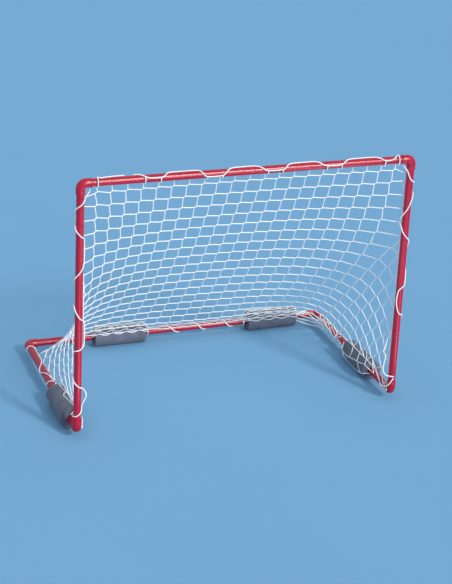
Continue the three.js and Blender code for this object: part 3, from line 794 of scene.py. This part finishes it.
# Where the flap's edge is tied along a side rail: pairs of the even place from the mouth and the real one
SIDE_RAIL_TIES = {
    LEFT: ((0, 0), (0.046, 0.070), (0.117, 0.190), (0.189, 0.270), (0.620, 0.620)),
    RIGHT: ((0, 0), (0.620, 0.620)),
}
REAR_RAIL_EDGE_ANGLE = 35


def between_pairs(pairs, place):
    """The second number of a pair at a place, read between the pairs."""
    return np.interp(place, [first for first, second in pairs], [second for first, second in pairs])


class NetSheet:
    """The net's flat cut, and where its edge is tied to the pipes.

    The cut is a strip from the crossbar to the rear rail, with a triangular flap on each side that follows the lower
    post as far as its tip and then the side rail.
    """

    def __init__(self, net, pipe, floats):
        self.net = net
        self.length = net.slack_share * math.hypot(BAR_HEIGHT, REAR_DEPTH)
        lower_post = BAR_HEIGHT - net.flap_start_drop
        flap_edge = self.length - net.flap_start
        tip_run = (flap_edge**2 + lower_post**2 - net.flap_rear_end**2) / (2 * flap_edge)
        self.lower_post = lower_post
        self.tip_length = net.flap_start + tip_run
        self.flap_width = math.sqrt(lower_post**2 - tip_run**2)
        self.column_pitch = 2 * POST_X / net.columns
        self.row_pitch = (self.length - net.first_row_drop) / net.rows
        self.join_width = net.join_share * self.column_pitch
        longest = max(net.flap_rear_end, lower_post, self.flap_width)
        self.longest_edge_bar = self.column_pitch * longest / self.flap_width
        self.reach = pipe.elbow_reach
        stand_off = net.net_gap + net.solid_twine / 2
        self.past_pipe = pipe.diameter / 2 + stand_off
        self.past_elbow = pipe.elbow_diameter / 2 + stand_off
        self.past_float = floats.diameter / 2 + stand_off
        self.float_zones = {}
        for node, letter in FLOAT_ALONG.items():
            low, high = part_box(node)
            index = "XYZ".index(letter)
            start = MOUTH_Y if letter == "Y" else 0
            centre = (low[index] + high[index]) / 2 - start
            self.float_zones[node] = (centre, (high[index] - low[index]) / 2 + self.longest_edge_bar)

    def half_span(self, s):
        """How far the flat cut reaches from its middle line at a length down the sheet."""
        start = self.net.flap_start
        if s <= start:
            return POST_X
        if s <= self.tip_length:
            return POST_X + self.flap_width * (s - start) / (self.tip_length - start)
        return POST_X + self.flap_width * (self.length - s) / (self.length - self.tip_length)

    def past_frame(self, run, length):
        """How far the net's edge stands off a pipe's axis: more beside the elbows at its ends."""
        near_end = min(run, length - run) < self.reach + self.longest_edge_bar
        return self.past_elbow if near_end else self.past_pipe

    def near_float(self, node, place):
        """Whether a place along a rail is at a float."""
        centre, zone = self.float_zones[node]
        return abs(place - centre) < zone

    def past_bar(self, x):
        """The edge's stand-off along the crossbar or the rear rail."""
        return self.past_frame(POST_X - abs(x), 2 * POST_X)

    def past_post(self, height):
        """The edge's stand-off up a post."""
        return self.past_frame(height, BAR_HEIGHT)

    def past_side_rail(self, y):
        """The edge's stand-off along a side rail, and none behind the flap."""
        return 0 if y > self.net.flap_rear_end else self.past_frame(y, REAR_DEPTH)

    def crossbar_edge(self, x):
        """Where the top edge is tied."""
        limit = POST_X - self.past_elbow
        return CROSSBAR.place(np.clip(x, -limit, limit), self.past_bar(x), CROSSBAR_EDGE_ANGLE)

    def post_edge(self, side, height):
        """Where the side edge is tied up a post."""
        return POSTS[side].place(height, self.past_post(height), between_pairs(POST_EDGE_ANGLES[side], height))

    def side_rail_edge(self, side, y):
        """Where the flap's edge is tied along a side rail."""
        if self.near_float(f"{SIDE_NAMES[side]}_side_float", y):
            return SIDE_RAILS[side].place(y, self.past_float, SIDE_FLOAT_EDGE_ANGLES[side])
        return SIDE_RAILS[side].place(y, self.past_frame(y, REAR_DEPTH), SIDE_RAIL_EDGE_ANGLE)

    def rear_rail_edge(self, x):
        """The ties on the rear rail. The left corner is cut off by a free edge from the rear rail to the side rail."""
        reach = self.net.free_corner
        if x < reach - POST_X:
            foot = self.side_rail_edge(LEFT, self.net.flap_rear_end)
            return foot + (self.rear_rail_edge(reach - POST_X) - foot) * (POST_X + x) / reach
        at_float = self.near_float("rear_left_float", x) or self.near_float("rear_right_float", x)
        return REAR_RAIL.place(x, self.past_float if at_float else self.past_bar(x), REAR_RAIL_EDGE_ANGLE)

    def side_edge(self, side, s):
        """Where the side edge of the sheet is tied, at a length down the sheet."""
        start, tip = self.net.flap_start, self.tip_length
        if s <= start:
            return self.post_edge(side, BAR_HEIGHT - self.net.flap_start_drop * s / start)
        if s <= tip:
            return self.post_edge(side, self.lower_post * (tip - s) / (tip - start))
        even = self.net.flap_rear_end * (s - tip) / (self.length - tip)
        return self.side_rail_edge(side, between_pairs(SIDE_RAIL_TIES[side], even))


class NetPlan:
    """The net's knots, and the rows, columns and edge that join them. The free knots settle under their pulls."""

    def __init__(self, sheet):
        self.sheet = sheet
        self.flat = []
        self.places = []
        self.held = []
        self.rows = []
        self.columns = []
        self.sides = {LEFT: [], RIGHT: []}
        self.row_lengths = np.arange(
            sheet.net.first_row_drop, sheet.length - sheet.row_pitch / 4, sheet.row_pitch
        )
        last = int((POST_X + sheet.flap_width) / sheet.column_pitch)
        self.column_places = [count * sheet.column_pitch for count in range(-last, last + 1)]
        top, bottom = self.add_corners(), []
        self.add_rows()
        for t in self.column_places:
            self.add_column(t, top, bottom)
        self.edge = self.around(top, bottom)
        self.flat = np.array(self.flat)
        self.places = np.array(self.places)
        self.held = np.array(self.held)
        self.settle()

    def knot(self, t, s, place, held):
        """Adds a knot: across and down the flat sheet, where it is, and whether it is tied."""
        self.flat.append((t, s))
        self.places.append(place)
        self.held.append(held)
        return len(self.flat) - 1

    def add_corners(self):
        """Ties the top corners, the flaps' tips and their rear corners."""
        sheet = self.sheet
        top = []
        for side in (LEFT, RIGHT):
            corner = side * POST_X
            top.append(self.knot(corner, 0, sheet.crossbar_edge(corner), True))
            tip = sheet.post_edge(side, 0)
            self.sides[side].append(self.knot(side * (POST_X + sheet.flap_width), sheet.tip_length, tip, True))
            foot = sheet.side_rail_edge(side, sheet.net.flap_rear_end)
            self.sides[side].append(self.knot(corner, sheet.length, foot, True))
        return top

    def add_rows(self):
        """Ties each row's ends and sets out its free knots."""
        sheet = self.sheet
        for s in self.row_lengths:
            span = sheet.half_span(s)
            ends = {}
            for side in (LEFT, RIGHT):
                ends[side] = self.knot(side * span, s, sheet.side_edge(side, s), True)
                self.sides[side].append(ends[side])
            inner = {}
            for t in self.column_places:
                if abs(t) < span - sheet.join_width:
                    start = (t, MOUTH_Y + REAR_DEPTH * s / sheet.length, RAIL_Z + BAR_HEIGHT * (1 - s / sheet.length))
                    inner[t] = self.knot(t, s, start, False)
            self.rows.append({"s": s, "ends": ends, "inner": inner})

    def flap_end(self, t, upper):
        """The knot at which a column ends on a flap's edge."""
        sheet = self.sheet
        side = LEFT if t < 0 else RIGHT
        for row in self.rows:
            on_edge = row["s"] > sheet.net.flap_start and (row["s"] <= sheet.tip_length) == upper
            if on_edge and abs(sheet.half_span(row["s"]) - abs(t)) < sheet.join_width:
                return row["ends"][side]
        share = (abs(t) - POST_X) / sheet.flap_width
        start = sheet.net.flap_start if upper else sheet.length
        s = start + (sheet.tip_length - start) * share
        for one in self.sides[side]:
            if math.dist(self.flat[one], (t, s)) < sheet.join_width / 2:
                return one
        end = self.knot(t, s, sheet.side_edge(side, s), True)
        self.sides[side].append(end)
        return end

    def add_column(self, t, top, bottom):
        """Sets out a column, and ties its ends to the edge or the flaps."""
        sheet = self.sheet
        if abs(t) > POST_X - sheet.join_width / 2:
            first, last = self.flap_end(t, True), self.flap_end(t, False)
        else:
            first = self.knot(t, 0, sheet.crossbar_edge(t), True)
            last = self.knot(t, sheet.length, sheet.rear_rail_edge(t), True)
            top.append(first)
            bottom.append(last)
        self.columns.append([first] + [row["inner"][t] for row in self.rows if t in row["inner"]] + [last])

    def around(self, top, bottom):
        """The knots of the edge, in order all the way round."""
        def across(one):
            return self.flat[one][0]

        def down(one):
            return self.flat[one][1]

        return (
            sorted(top, key=across) + sorted(self.sides[RIGHT], key=down)
            + sorted(bottom, key=across, reverse=True) + sorted(self.sides[LEFT], key=down, reverse=True)
        )

    def row_line(self, row):
        """A row's knots from left to right."""
        return [row["ends"][LEFT], *row["inner"].values(), row["ends"][RIGHT]]

    def settle(self):
        """Balances the pulls of the bars and a small weight on each free knot."""
        net = self.sheet.net
        size = len(self.flat)
        ties = np.zeros((size, size))
        lines = [(self.row_line(row), net.cross_pull_share) for row in self.rows]
        lines += [(column, 1.0) for column in self.columns]
        for line, pull in lines:
            for a, b in zip(line, line[1:]):
                length = np.linalg.norm(self.flat[a] - self.flat[b])
                weight = pull / max(length, self.sheet.join_width / 2)
                ties[a, b] += weight
                ties[b, a] += weight
        free = np.flatnonzero(~self.held)
        fixed = np.flatnonzero(self.held)
        balance = np.diag(ties.sum(axis=1))[np.ix_(free, free)] - ties[np.ix_(free, free)]
        pulls = ties[np.ix_(free, fixed)] @ self.places[fixed]
        pulls[:, 2] -= net.weight_share
        self.places[free] = np.linalg.solve(balance, pulls)


def unit(vector):
    """A vector's direction."""
    return vector / max(np.linalg.norm(vector), 1e-12)


def net_strands(plan, net):
    """The twine of each row, column and edge. Rows climb and columns drop through the knotless joints, side by side."""
    radius = net.twine / 2
    places = plan.places
    right = np.zeros_like(places)
    down = np.zeros_like(places)
    for row in plan.rows:
        line = plan.row_line(row)
        for before, here, after in zip(line, line[1:], line[2:]):
            right[here] = unit(places[after] - places[before])
    for column in plan.columns:
        for before, here, after in zip(column, column[1:], column[2:]):
            down[here] = unit(places[after] - places[before])
    diagonal = np.array([unit(r - d) for r, d in zip(right, down)]) * (net.joint / 2)
    apart = np.array([unit(np.cross(r, d)) for r, d in zip(right, down)]) * (radius / 2)
    strands = []
    for row in plan.rows:
        line = plan.row_line(row)
        points = [places[line[0]]]
        for here in line[1:-1]:
            joint = places[here] - apart[here]
            points += [joint - diagonal[here], joint + diagonal[here]]
        points.append(places[line[-1]])
        if row["s"] <= net.flap_start:
            drop = FIRST_ROW_END_DROP if row is plan.rows[0] else ROW_END_DROP
            points[0], points[-1] = points[0] - (0, 0, drop), points[-1] - (0, 0, drop)
        strands.append(twine_strand(points, radius))
    for column in plan.columns:
        points = [places[column[0]]]
        for here in column[1:-1]:
            joint = places[here] + apart[here]
            points += [joint + diagonal[here], joint - diagonal[here]]
        points.append(places[column[-1]])
        strands.append(twine_strand(points, radius))
    edge = places[plan.edge + plan.edge[:1]]
    strands.append(twine_strand(list(edge), net.edge_twine / 2))
    return strands


def hooked_strands(sheet):
    """The column tops that come up in front of the crossbar to the lacing."""
    radius = sheet.net.twine / 2
    steps = 14
    strands = []
    for count, angle in HOOKED_COLUMNS.items():
        x = count * sheet.column_pitch
        turn = np.linspace(CROSSBAR_EDGE_ANGLE, angle - FULL_DEGREES, steps)
        stand_off = sheet.past_bar(x) + np.linspace(0, 1, steps) * (sheet.net.lacing / 2)
        strands.append(round_ends(CROSSBAR.place(np.full(steps, x), stand_off, turn), radius))
    return strands


class RailSkin:
    """How far the skin of a rail and its floats is from the rail's axis. It slopes down beyond a float's ends."""

    slope = 1.3

    def __init__(self, nodes, index, start, pipe, floats):
        self.pipe_radius = pipe.diameter / 2
        self.float_radius = floats.diameter / 2
        self.spans = [[corner[index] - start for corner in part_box(node)] for node in nodes]

    def __call__(self, along):
        radius = np.full(len(along), self.pipe_radius)
        for low, high in self.spans:
            beyond = np.maximum(np.maximum(low - along, along - high), 0)
            radius = np.maximum(radius, self.float_radius - self.slope * beyond)
        return radius


def draped(axis, skin, stops, twine):
    """A strand laid over a rail and its floats."""
    flat_scale, skin_gap = 0.03, 0.0004
    laid = smooth_route([(along, math.radians(degrees) * flat_scale) for along, degrees in stops], SLACK_SAMPLES)
    stand_off = skin(laid[:, 0]) + twine / 2 + skin_gap
    return round_ends(axis.place(laid[:, 0], stand_off, np.degrees(laid[:, 1] / flat_scale)), twine / 2)


def slack_strands(sheet, pipe, floats):
    """The netting left over beyond the rows: laid on the rear rail and its floats, and round the side rails."""
    pulled_thin, swing = 0.85, 4.5
    twine = sheet.net.twine * pulled_thin
    half_mesh = sheet.column_pitch / 2
    rear = RailSkin(("rear_left_float", "rear_right_float"), 0, 0, pipe, floats)
    strands = []
    for count, (first, last, angle) in enumerate(REAR_SLACK_ROWS):
        crossings = [first] + [(k + count % 2) * half_mesh for k in range(-14, 22)] + [last]
        inside = [x for x in crossings if first <= x <= last]
        stops = [(x, angle + (swing if k % 2 else -swing)) for k, x in enumerate(inside)]
        strands.append(draped(REAR_RAIL, rear, stops, twine))
    for side, routes in SIDE_SLACK.items():
        skin = RailSkin((f"{SIDE_NAMES[side]}_side_float",), 1, MOUTH_Y, pipe, floats)
        strands += [draped(SIDE_RAILS[side], skin, stops, twine) for stops in routes]
    corner = np.array((POST_X, MOUTH_Y + REAR_DEPTH, RAIL_Z))
    for points in SELVAGE:
        placed = [corner + (-across, -forward, up) for across, forward, up in points]
        strands.append(round_ends(smooth_route(placed, SLACK_SAMPLES), twine / 2))
    return strands


def twine_strand(points, radius):
    """A strand through its points, with its corners cut and its straight parts kept straight."""
    long_part, kept_straight = 0.02, (0.2, 0.8)
    filled = [points[0]]
    for before, after in zip(points, points[1:]):
        if np.linalg.norm(after - before) > long_part:
            filled += [before + (after - before) * share for share in kept_straight]
        filled.append(after)
    filled = np.array(filled)
    near, far = filled[:-1], filled[1:]
    cut = np.stack([near * 0.75 + far * 0.25, near * 0.25 + far * 0.75], axis=1).reshape(-1, 3)
    smooth = np.concatenate([filled[:1], cut[1:-1], filled[-1:]])
    return round_ends(smooth, radius)


# Lacing

def smooth_route(stops, samples=48):
    """A centripetal Catmull-Rom curve through flat points, finely sampled."""
    stops = np.array(stops, float)
    padded = np.vstack([2 * stops[0] - stops[1], stops, 2 * stops[-1] - stops[-2]])
    share = np.linspace(0, 1, samples, endpoint=False)[:, None]
    pieces = []
    for p0, p1, p2, p3 in zip(padded, padded[1:], padded[2:], padded[3:]):
        gaps = [max(np.linalg.norm(b - a), 1e-9) ** 0.5 for a, b in ((p0, p1), (p1, p2), (p2, p3))]
        leave = (p1 - p0) / gaps[0] - (p2 - p0) / (gaps[0] + gaps[1]) + (p2 - p1) / gaps[1]
        arrive = (p2 - p1) / gaps[1] - (p3 - p1) / (gaps[1] + gaps[2]) + (p3 - p2) / gaps[2]
        leave, arrive = leave * gaps[1], arrive * gaps[1]
        cubic = 2 * p1 - 2 * p2 + leave + arrive
        square = -3 * p1 + 3 * p2 - 2 * leave - arrive
        pieces.append(cubic * share**3 + square * share**2 + leave * share + p1)
    return np.vstack([*pieces, stops[-1:]])


def evenly(points, steps):
    """Points at equal distances along a line of points."""
    run = np.concatenate([[0], np.cumsum(np.linalg.norm(np.diff(points, axis=0), axis=1))])
    wanted = np.linspace(0, run[-1], steps + 1)
    return np.stack([np.interp(wanted, run, column) for column in points.T], axis=1)


def lacing_points(axis, edge_angles, edge_radius, stops, steps, pipe, net):
    """A lacing cord's path: wound round its pipe, and lifted where it crosses the net's edge cord."""
    along_share = 0.3
    lift_half_angle, lift_fade_angle = 24, 34
    pipe_radius, cord_radius = pipe.diameter / 2, net.lacing / 2
    unrolled = [(along * along_share, math.radians(degrees) * pipe_radius) for along, degrees in stops]
    laid = evenly(smooth_route(unrolled), steps)
    along = laid[:, 0] / along_share
    degrees = np.degrees(laid[:, 1] / pipe_radius)
    on_pipe = pipe_radius + net.cord_gap + cord_radius
    over_edge = np.array([edge_radius(place) for place in along]) + net.edge_twine / 2 + net.cord_gap + cord_radius
    turned = np.mod(degrees - between_pairs(edge_angles, along), FULL_DEGREES)
    away = np.minimum(turned, FULL_DEGREES - turned)
    fade = np.clip((away - lift_half_angle) / lift_fade_angle, 0, 1)
    fade = fade**2 * (3 - 2 * fade)
    radius = np.maximum(over_edge, on_pipe) * (1 - fade) + on_pipe * fade
    return axis.place(along, radius, degrees)


def loosened(points, axis, stops):
    """A post's lacing with one span of it hanging off the post."""
    heights, lifts = smooth_route(stops, samples=12).T
    height = (points - axis.origin) @ axis.along
    return points + np.outer(np.interp(height, heights, lifts, 0, 0), axis.zero)


def post_lead(side):
    """The start of a post's lacing, under the crossbar beside the elbow."""
    corner = np.array((side * POST_X, MOUTH_Y, RAIL_Z + BAR_HEIGHT))
    return [corner + (-side * inward, back, -below) for inward, back, below in POST_LEADS[side]]


# Operators

def aimed(direction):
    """Turns a lamp or camera to look in a direction, with its top up."""
    return Vector(direction).to_track_quat("-Z", "Y").to_matrix().to_4x4()


class GOAL_OT_pipes(Operator):
    """Make the six round pipes of the frame."""

    bl_idname = "goal.pipes"
    bl_label = "Pipes"

    def execute(self, context):
        sizes = context.scene.goal_pipe
        stretches = {"X": (1, 60, 60), "Y": (60, 1, 60), "Z": (60, 60, 1)}
        finishes = {
            letter: pvc_finish(f"Drawn PVC {letter}", sizes.colour, stretch, ripple=120.0)
            for letter, stretch in stretches.items()
        }
        for node, letter in PIPE_NODES.items():
            low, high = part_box(node)
            length = (high - low)["XYZ".index(letter)]
            radius = sizes.diameter / 2
            bm = tube(radius, radius - sizes.wall, length, sizes.sides, 1, sizes.rim_radius)
            place = Matrix.Translation((low + high) / 2) @ along_axis(letter)
            bmesh.ops.transform(bm, matrix=place, verts=bm.verts)
            piece = add_piece(f"round_{node}", mesh_from(bm, node), finishes[letter], "frame")
            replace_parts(piece, node)
        return {"FINISHED"}


class GOAL_OT_elbows(Operator):
    """Make the six elbows that join the pipes."""

    bl_idname = "goal.elbows"
    bl_label = "Elbows"

    def execute(self, context):
        sizes = context.scene.goal_pipe
        finish = pvc_finish("Moulded PVC", sizes.colour, stretch=(9, 9, 9), ripple=200.0)
        up, back = Vector((0, 0, 1)), Vector((0, 1, 0))
        for side, word in SIDE_NAMES.items():
            inward = Vector((-side, 0, 0))
            top = Vector((side * POST_X, MOUTH_Y, RAIL_Z + BAR_HEIGHT))
            front = Vector((side * POST_X, MOUTH_Y, RAIL_Z))
            rear = Vector((side * POST_X, MOUTH_Y + REAR_DEPTH, RAIL_Z))
            elbows = {
                f"top_{word}_elbow": (top, inward, -up),
                f"front_{word}_elbow": (front, up, back),
                f"rear_{word}_elbow": (rear, -back, inward),
            }
            for node, (corner, first_way, second_way) in elbows.items():
                mesh = elbow_mesh(node, corner, first_way, second_way, sizes)
                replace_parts(add_piece(f"moulded_{node}", mesh, finish, "frame"), node)
        return {"FINISHED"}


class GOAL_OT_floats(Operator):
    """Make the four foam tubes."""

    bl_idname = "goal.floats"
    bl_label = "Floats"

    def execute(self, context):
        sizes = context.scene.goal_float
        finish = foam_finish("Closed-cell foam", sizes.colour)
        for node, body in FLOAT_BODIES.items():
            mesh = float_mesh(node, node, FLOAT_ALONG[node], sizes, context.scene.goal_pipe.diameter)
            piece = add_piece(f"foam_{node}", mesh, finish, body)
            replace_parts(piece, node)
        return {"FINISHED"}


class GOAL_OT_net(Operator):
    """Hang the net between the crossbar, the posts and the lower rails."""

    bl_idname = "goal.net"
    bl_label = "Net"

    def execute(self, context):
        scene = context.scene
        sheet = NetSheet(scene.goal_net, scene.goal_pipe, scene.goal_float)
        plan = NetPlan(sheet)
        strands = net_strands(plan, scene.goal_net) + hooked_strands(sheet)
        strands += slack_strands(sheet, scene.goal_pipe, scene.goal_float)
        finish = cord_finish("Braided twine", scene.goal_net.colour, waves_per_metre=130.0, waves_round=1.5)
        mesh = cord_mesh("net", strands, TWINE_SIDES)
        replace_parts(add_piece("twine_net", mesh, finish, "frame", sharp_angle=0), "net")
        return {"FINISHED"}


class GOAL_OT_lacings(Operator):
    """Wind the lacing cords round the pipes."""

    bl_idname = "goal.lacings"
    bl_label = "Lacing"

    def execute(self, context):
        scene = context.scene
        pipe, net = scene.goal_pipe, scene.goal_net
        sheet = NetSheet(net, pipe, scene.goal_float)
        finish = cord_finish("Braided cord", net.lacing_colour, waves_per_metre=100.0, waves_round=2)
        side_edge = ((0, SIDE_RAIL_EDGE_ANGLE),)
        routes = {
            "crossbar_lacing": (CROSSBAR, ((0, CROSSBAR_EDGE_ANGLE),), sheet.past_bar, CROSSBAR_ROUTE, 360),
            "left_post_lacing": (POSTS[LEFT], POST_EDGE_ANGLES[LEFT], sheet.past_post, LEFT_POST_ROUTE, 320),
            "right_post_lacing": (POSTS[RIGHT], POST_EDGE_ANGLES[RIGHT], sheet.past_post, RIGHT_POST_ROUTE, 320),
            "left_side_lacing": (SIDE_RAILS[LEFT], side_edge, sheet.past_side_rail, LEFT_SIDE_ROUTE, 150),
            "right_side_lacing": (SIDE_RAILS[RIGHT], side_edge, sheet.past_side_rail, RIGHT_SIDE_ROUTE, 150),
            "rear_rail_lacing": (REAR_RAIL, ((0, REAR_RAIL_EDGE_ANGLE),), sheet.past_bar, REAR_RAIL_ROUTE, 240),
        }
        leads = {f"{word}_post_lacing": post_lead(side) for side, word in SIDE_NAMES.items()}
        for node, (axis, edge_angles, edge_radius, stops, steps) in routes.items():
            points = lacing_points(axis, edge_angles, edge_radius, stops, steps, pipe, net)
            strands = []
            if node in LOOSE_SPANS:
                points = loosened(points, axis, LOOSE_SPANS[node])
            if node in leads:
                points = np.vstack([leads[node], points])
            if node == "right_post_lacing":
                corner = np.array((POST_X, MOUTH_Y, RAIL_Z))
                turn = [corner + (-inward, -forward, up) for inward, forward, up in RIGHT_FOOT_TURN]
                strands.append(round_ends(smooth_route(turn, samples=8), net.lacing / 2))
            strands.append(round_ends(points, net.lacing / 2))
            mesh = cord_mesh(node, strands, LACING_SIDES)
            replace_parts(add_piece(f"braided_{node}", mesh, finish, "frame", sharp_angle=0), node)
        return {"FINISHED"}


class GOAL_OT_stage(Operator):
    """Set the floor, the lamps and the camera."""

    bl_idname = "goal.stage"
    bl_label = "Stage"

    def execute(self, context):
        stage = context.scene.goal_stage
        self.add_floor(context, stage)
        self.add_camera(context, stage)
        self.add_sun(context, "Main light", stage.sun_aim, stage.sun_strength, stage.sun_softness)
        self.add_sun(context, "Front light", stage.front_aim, stage.front_strength, stage.front_softness)
        for side in (LEFT, RIGHT):
            self.add_low_light(context, side, stage)
        self.add_sky(context, stage)
        context.scene.view_settings.view_transform = "Standard"
        return {"FINISHED"}

    def add_floor(self, context, stage):
        """A wide flat floor."""
        bm = bmesh.new()
        bmesh.ops.create_grid(bm, x_segments=1, y_segments=1, size=stage.floor_size / 2)
        floor = bpy.data.objects.new("floor", mesh_from(bm, "floor"))
        floor.data.materials.append(floor_finish("Pale floor", stage.floor_colour))
        context.scene.collection.objects.link(floor)

    def add_camera(self, context, stage):
        """The camera at its place, with its aim and roll."""
        camera = bpy.data.objects.new("Camera", bpy.data.cameras.new("Camera"))
        camera.data.sensor_fit = "HORIZONTAL"
        camera.data.sensor_width = stage.sensor_width
        camera.data.lens = stage.lens
        camera.data.shift_y = stage.shift_y
        camera.data.clip_end = 2 * stage.floor_size
        roll = Matrix.Rotation(stage.camera_roll, 4, "Z")
        camera.matrix_world = Matrix.Translation(stage.camera_place) @ aimed(stage.camera_aim) @ roll
        context.scene.collection.objects.link(camera)
        context.scene.camera = camera

    def add_lamp(self, context, name, kind, strength, place):
        """A lamp of the stage's colour, with its place and direction."""
        lamp = bpy.data.objects.new(name, bpy.data.lights.new(name, kind))
        lamp.data.energy = strength
        lamp.data.color = context.scene.goal_stage.lamp_colour
        lamp.matrix_world = place
        context.scene.collection.objects.link(lamp)
        return lamp

    def add_sun(self, context, name, aim, strength, softness):
        """An even light from far off."""
        lamp = self.add_lamp(context, name, "SUN", strength, aimed(aim))
        lamp.data.angle = softness

    def add_low_light(self, context, side, stage):
        """A soft light that lies on the floor in front of a post and shines up. It gives the post its gloss."""
        centre = (side * POST_X + stage.low_offset, MOUTH_Y - stage.low_distance, stage.low_height)
        facing_up = Matrix.Translation(centre) @ Matrix.Rotation(math.pi, 4, "X")
        lamp = self.add_lamp(context, "Low light", "AREA", stage.low_strength, facing_up)
        lamp.data.shape = "RECTANGLE"
        lamp.data.size, lamp.data.size_y = stage.low_size
        lamp.visible_camera = False

    def add_sky(self, context, stage):
        """Even light all round, and the floor's colour where the camera sees past the floor."""
        world = bpy.data.worlds.new("Sky")
        world.use_nodes = True
        context.scene.world = world
        nodes, links = world.node_tree.nodes, world.node_tree.links
        light = nodes["Background"]
        light.inputs["Color"].default_value = (*stage.sky_colour, 1)
        light.inputs["Strength"].default_value = stage.sky_strength
        seen = nodes.new("ShaderNodeBackground")
        seen.inputs["Color"].default_value = (*stage.floor_colour, 1)
        path = nodes.new("ShaderNodeLightPath")
        mix = nodes.new("ShaderNodeMixShader")
        links.new(path.outputs["Is Camera Ray"], mix.inputs["Fac"])
        links.new(light.outputs["Background"], mix.inputs[1])
        links.new(seen.outputs["Background"], mix.inputs[2])
        links.new(mix.outputs["Shader"], nodes["World Output"].inputs["Surface"])


class GOAL_PT_sidebar(Panel):
    """Lists the goal's pieces in the 3D view's sidebar."""

    bl_idname = "GOAL_PT_sidebar"
    bl_label = "Water Polo Goal"
    bl_space_type = "VIEW_3D"
    bl_region_type = "UI"
    bl_category = "Goal"

    def draw(self, context):
        for operator in OPERATORS:
            self.layout.operator(operator.bl_idname)
        for group in SETTINGS:
            box = self.layout.box()
            values = getattr(context.scene, group)
            for key in values.__annotations__:
                box.prop(values, key)


OPERATORS = (GOAL_OT_stage, GOAL_OT_pipes, GOAL_OT_elbows, GOAL_OT_floats, GOAL_OT_net, GOAL_OT_lacings)
SETTINGS = {
    "goal_pipe": GoalPipeSizes,
    "goal_float": GoalFloatSizes,
    "goal_net": GoalNetSizes,
    "goal_stage": GoalStageSettings,
}


def register():
    for group in SETTINGS.values():
        bpy.utils.register_class(group)
    for cls in (*OPERATORS, GOAL_PT_sidebar):
        bpy.utils.register_class(cls)
    for name, group in SETTINGS.items():
        setattr(bpy.types.Scene, name, PointerProperty(type=group))


def unregister():
    for name in SETTINGS:
        delattr(bpy.types.Scene, name)
    for cls in (GOAL_PT_sidebar, *reversed(OPERATORS)):
        bpy.utils.unregister_class(cls)
    for group in SETTINGS.values():
        bpy.utils.unregister_class(group)


def main():
    register()
    bpy.ops.goal.stage()
    bpy.ops.goal.pipes()
    bpy.ops.goal.elbows()
    bpy.ops.goal.floats()
    bpy.ops.goal.net()
    bpy.ops.goal.lacings()


if __name__ == "__main__":
    main()
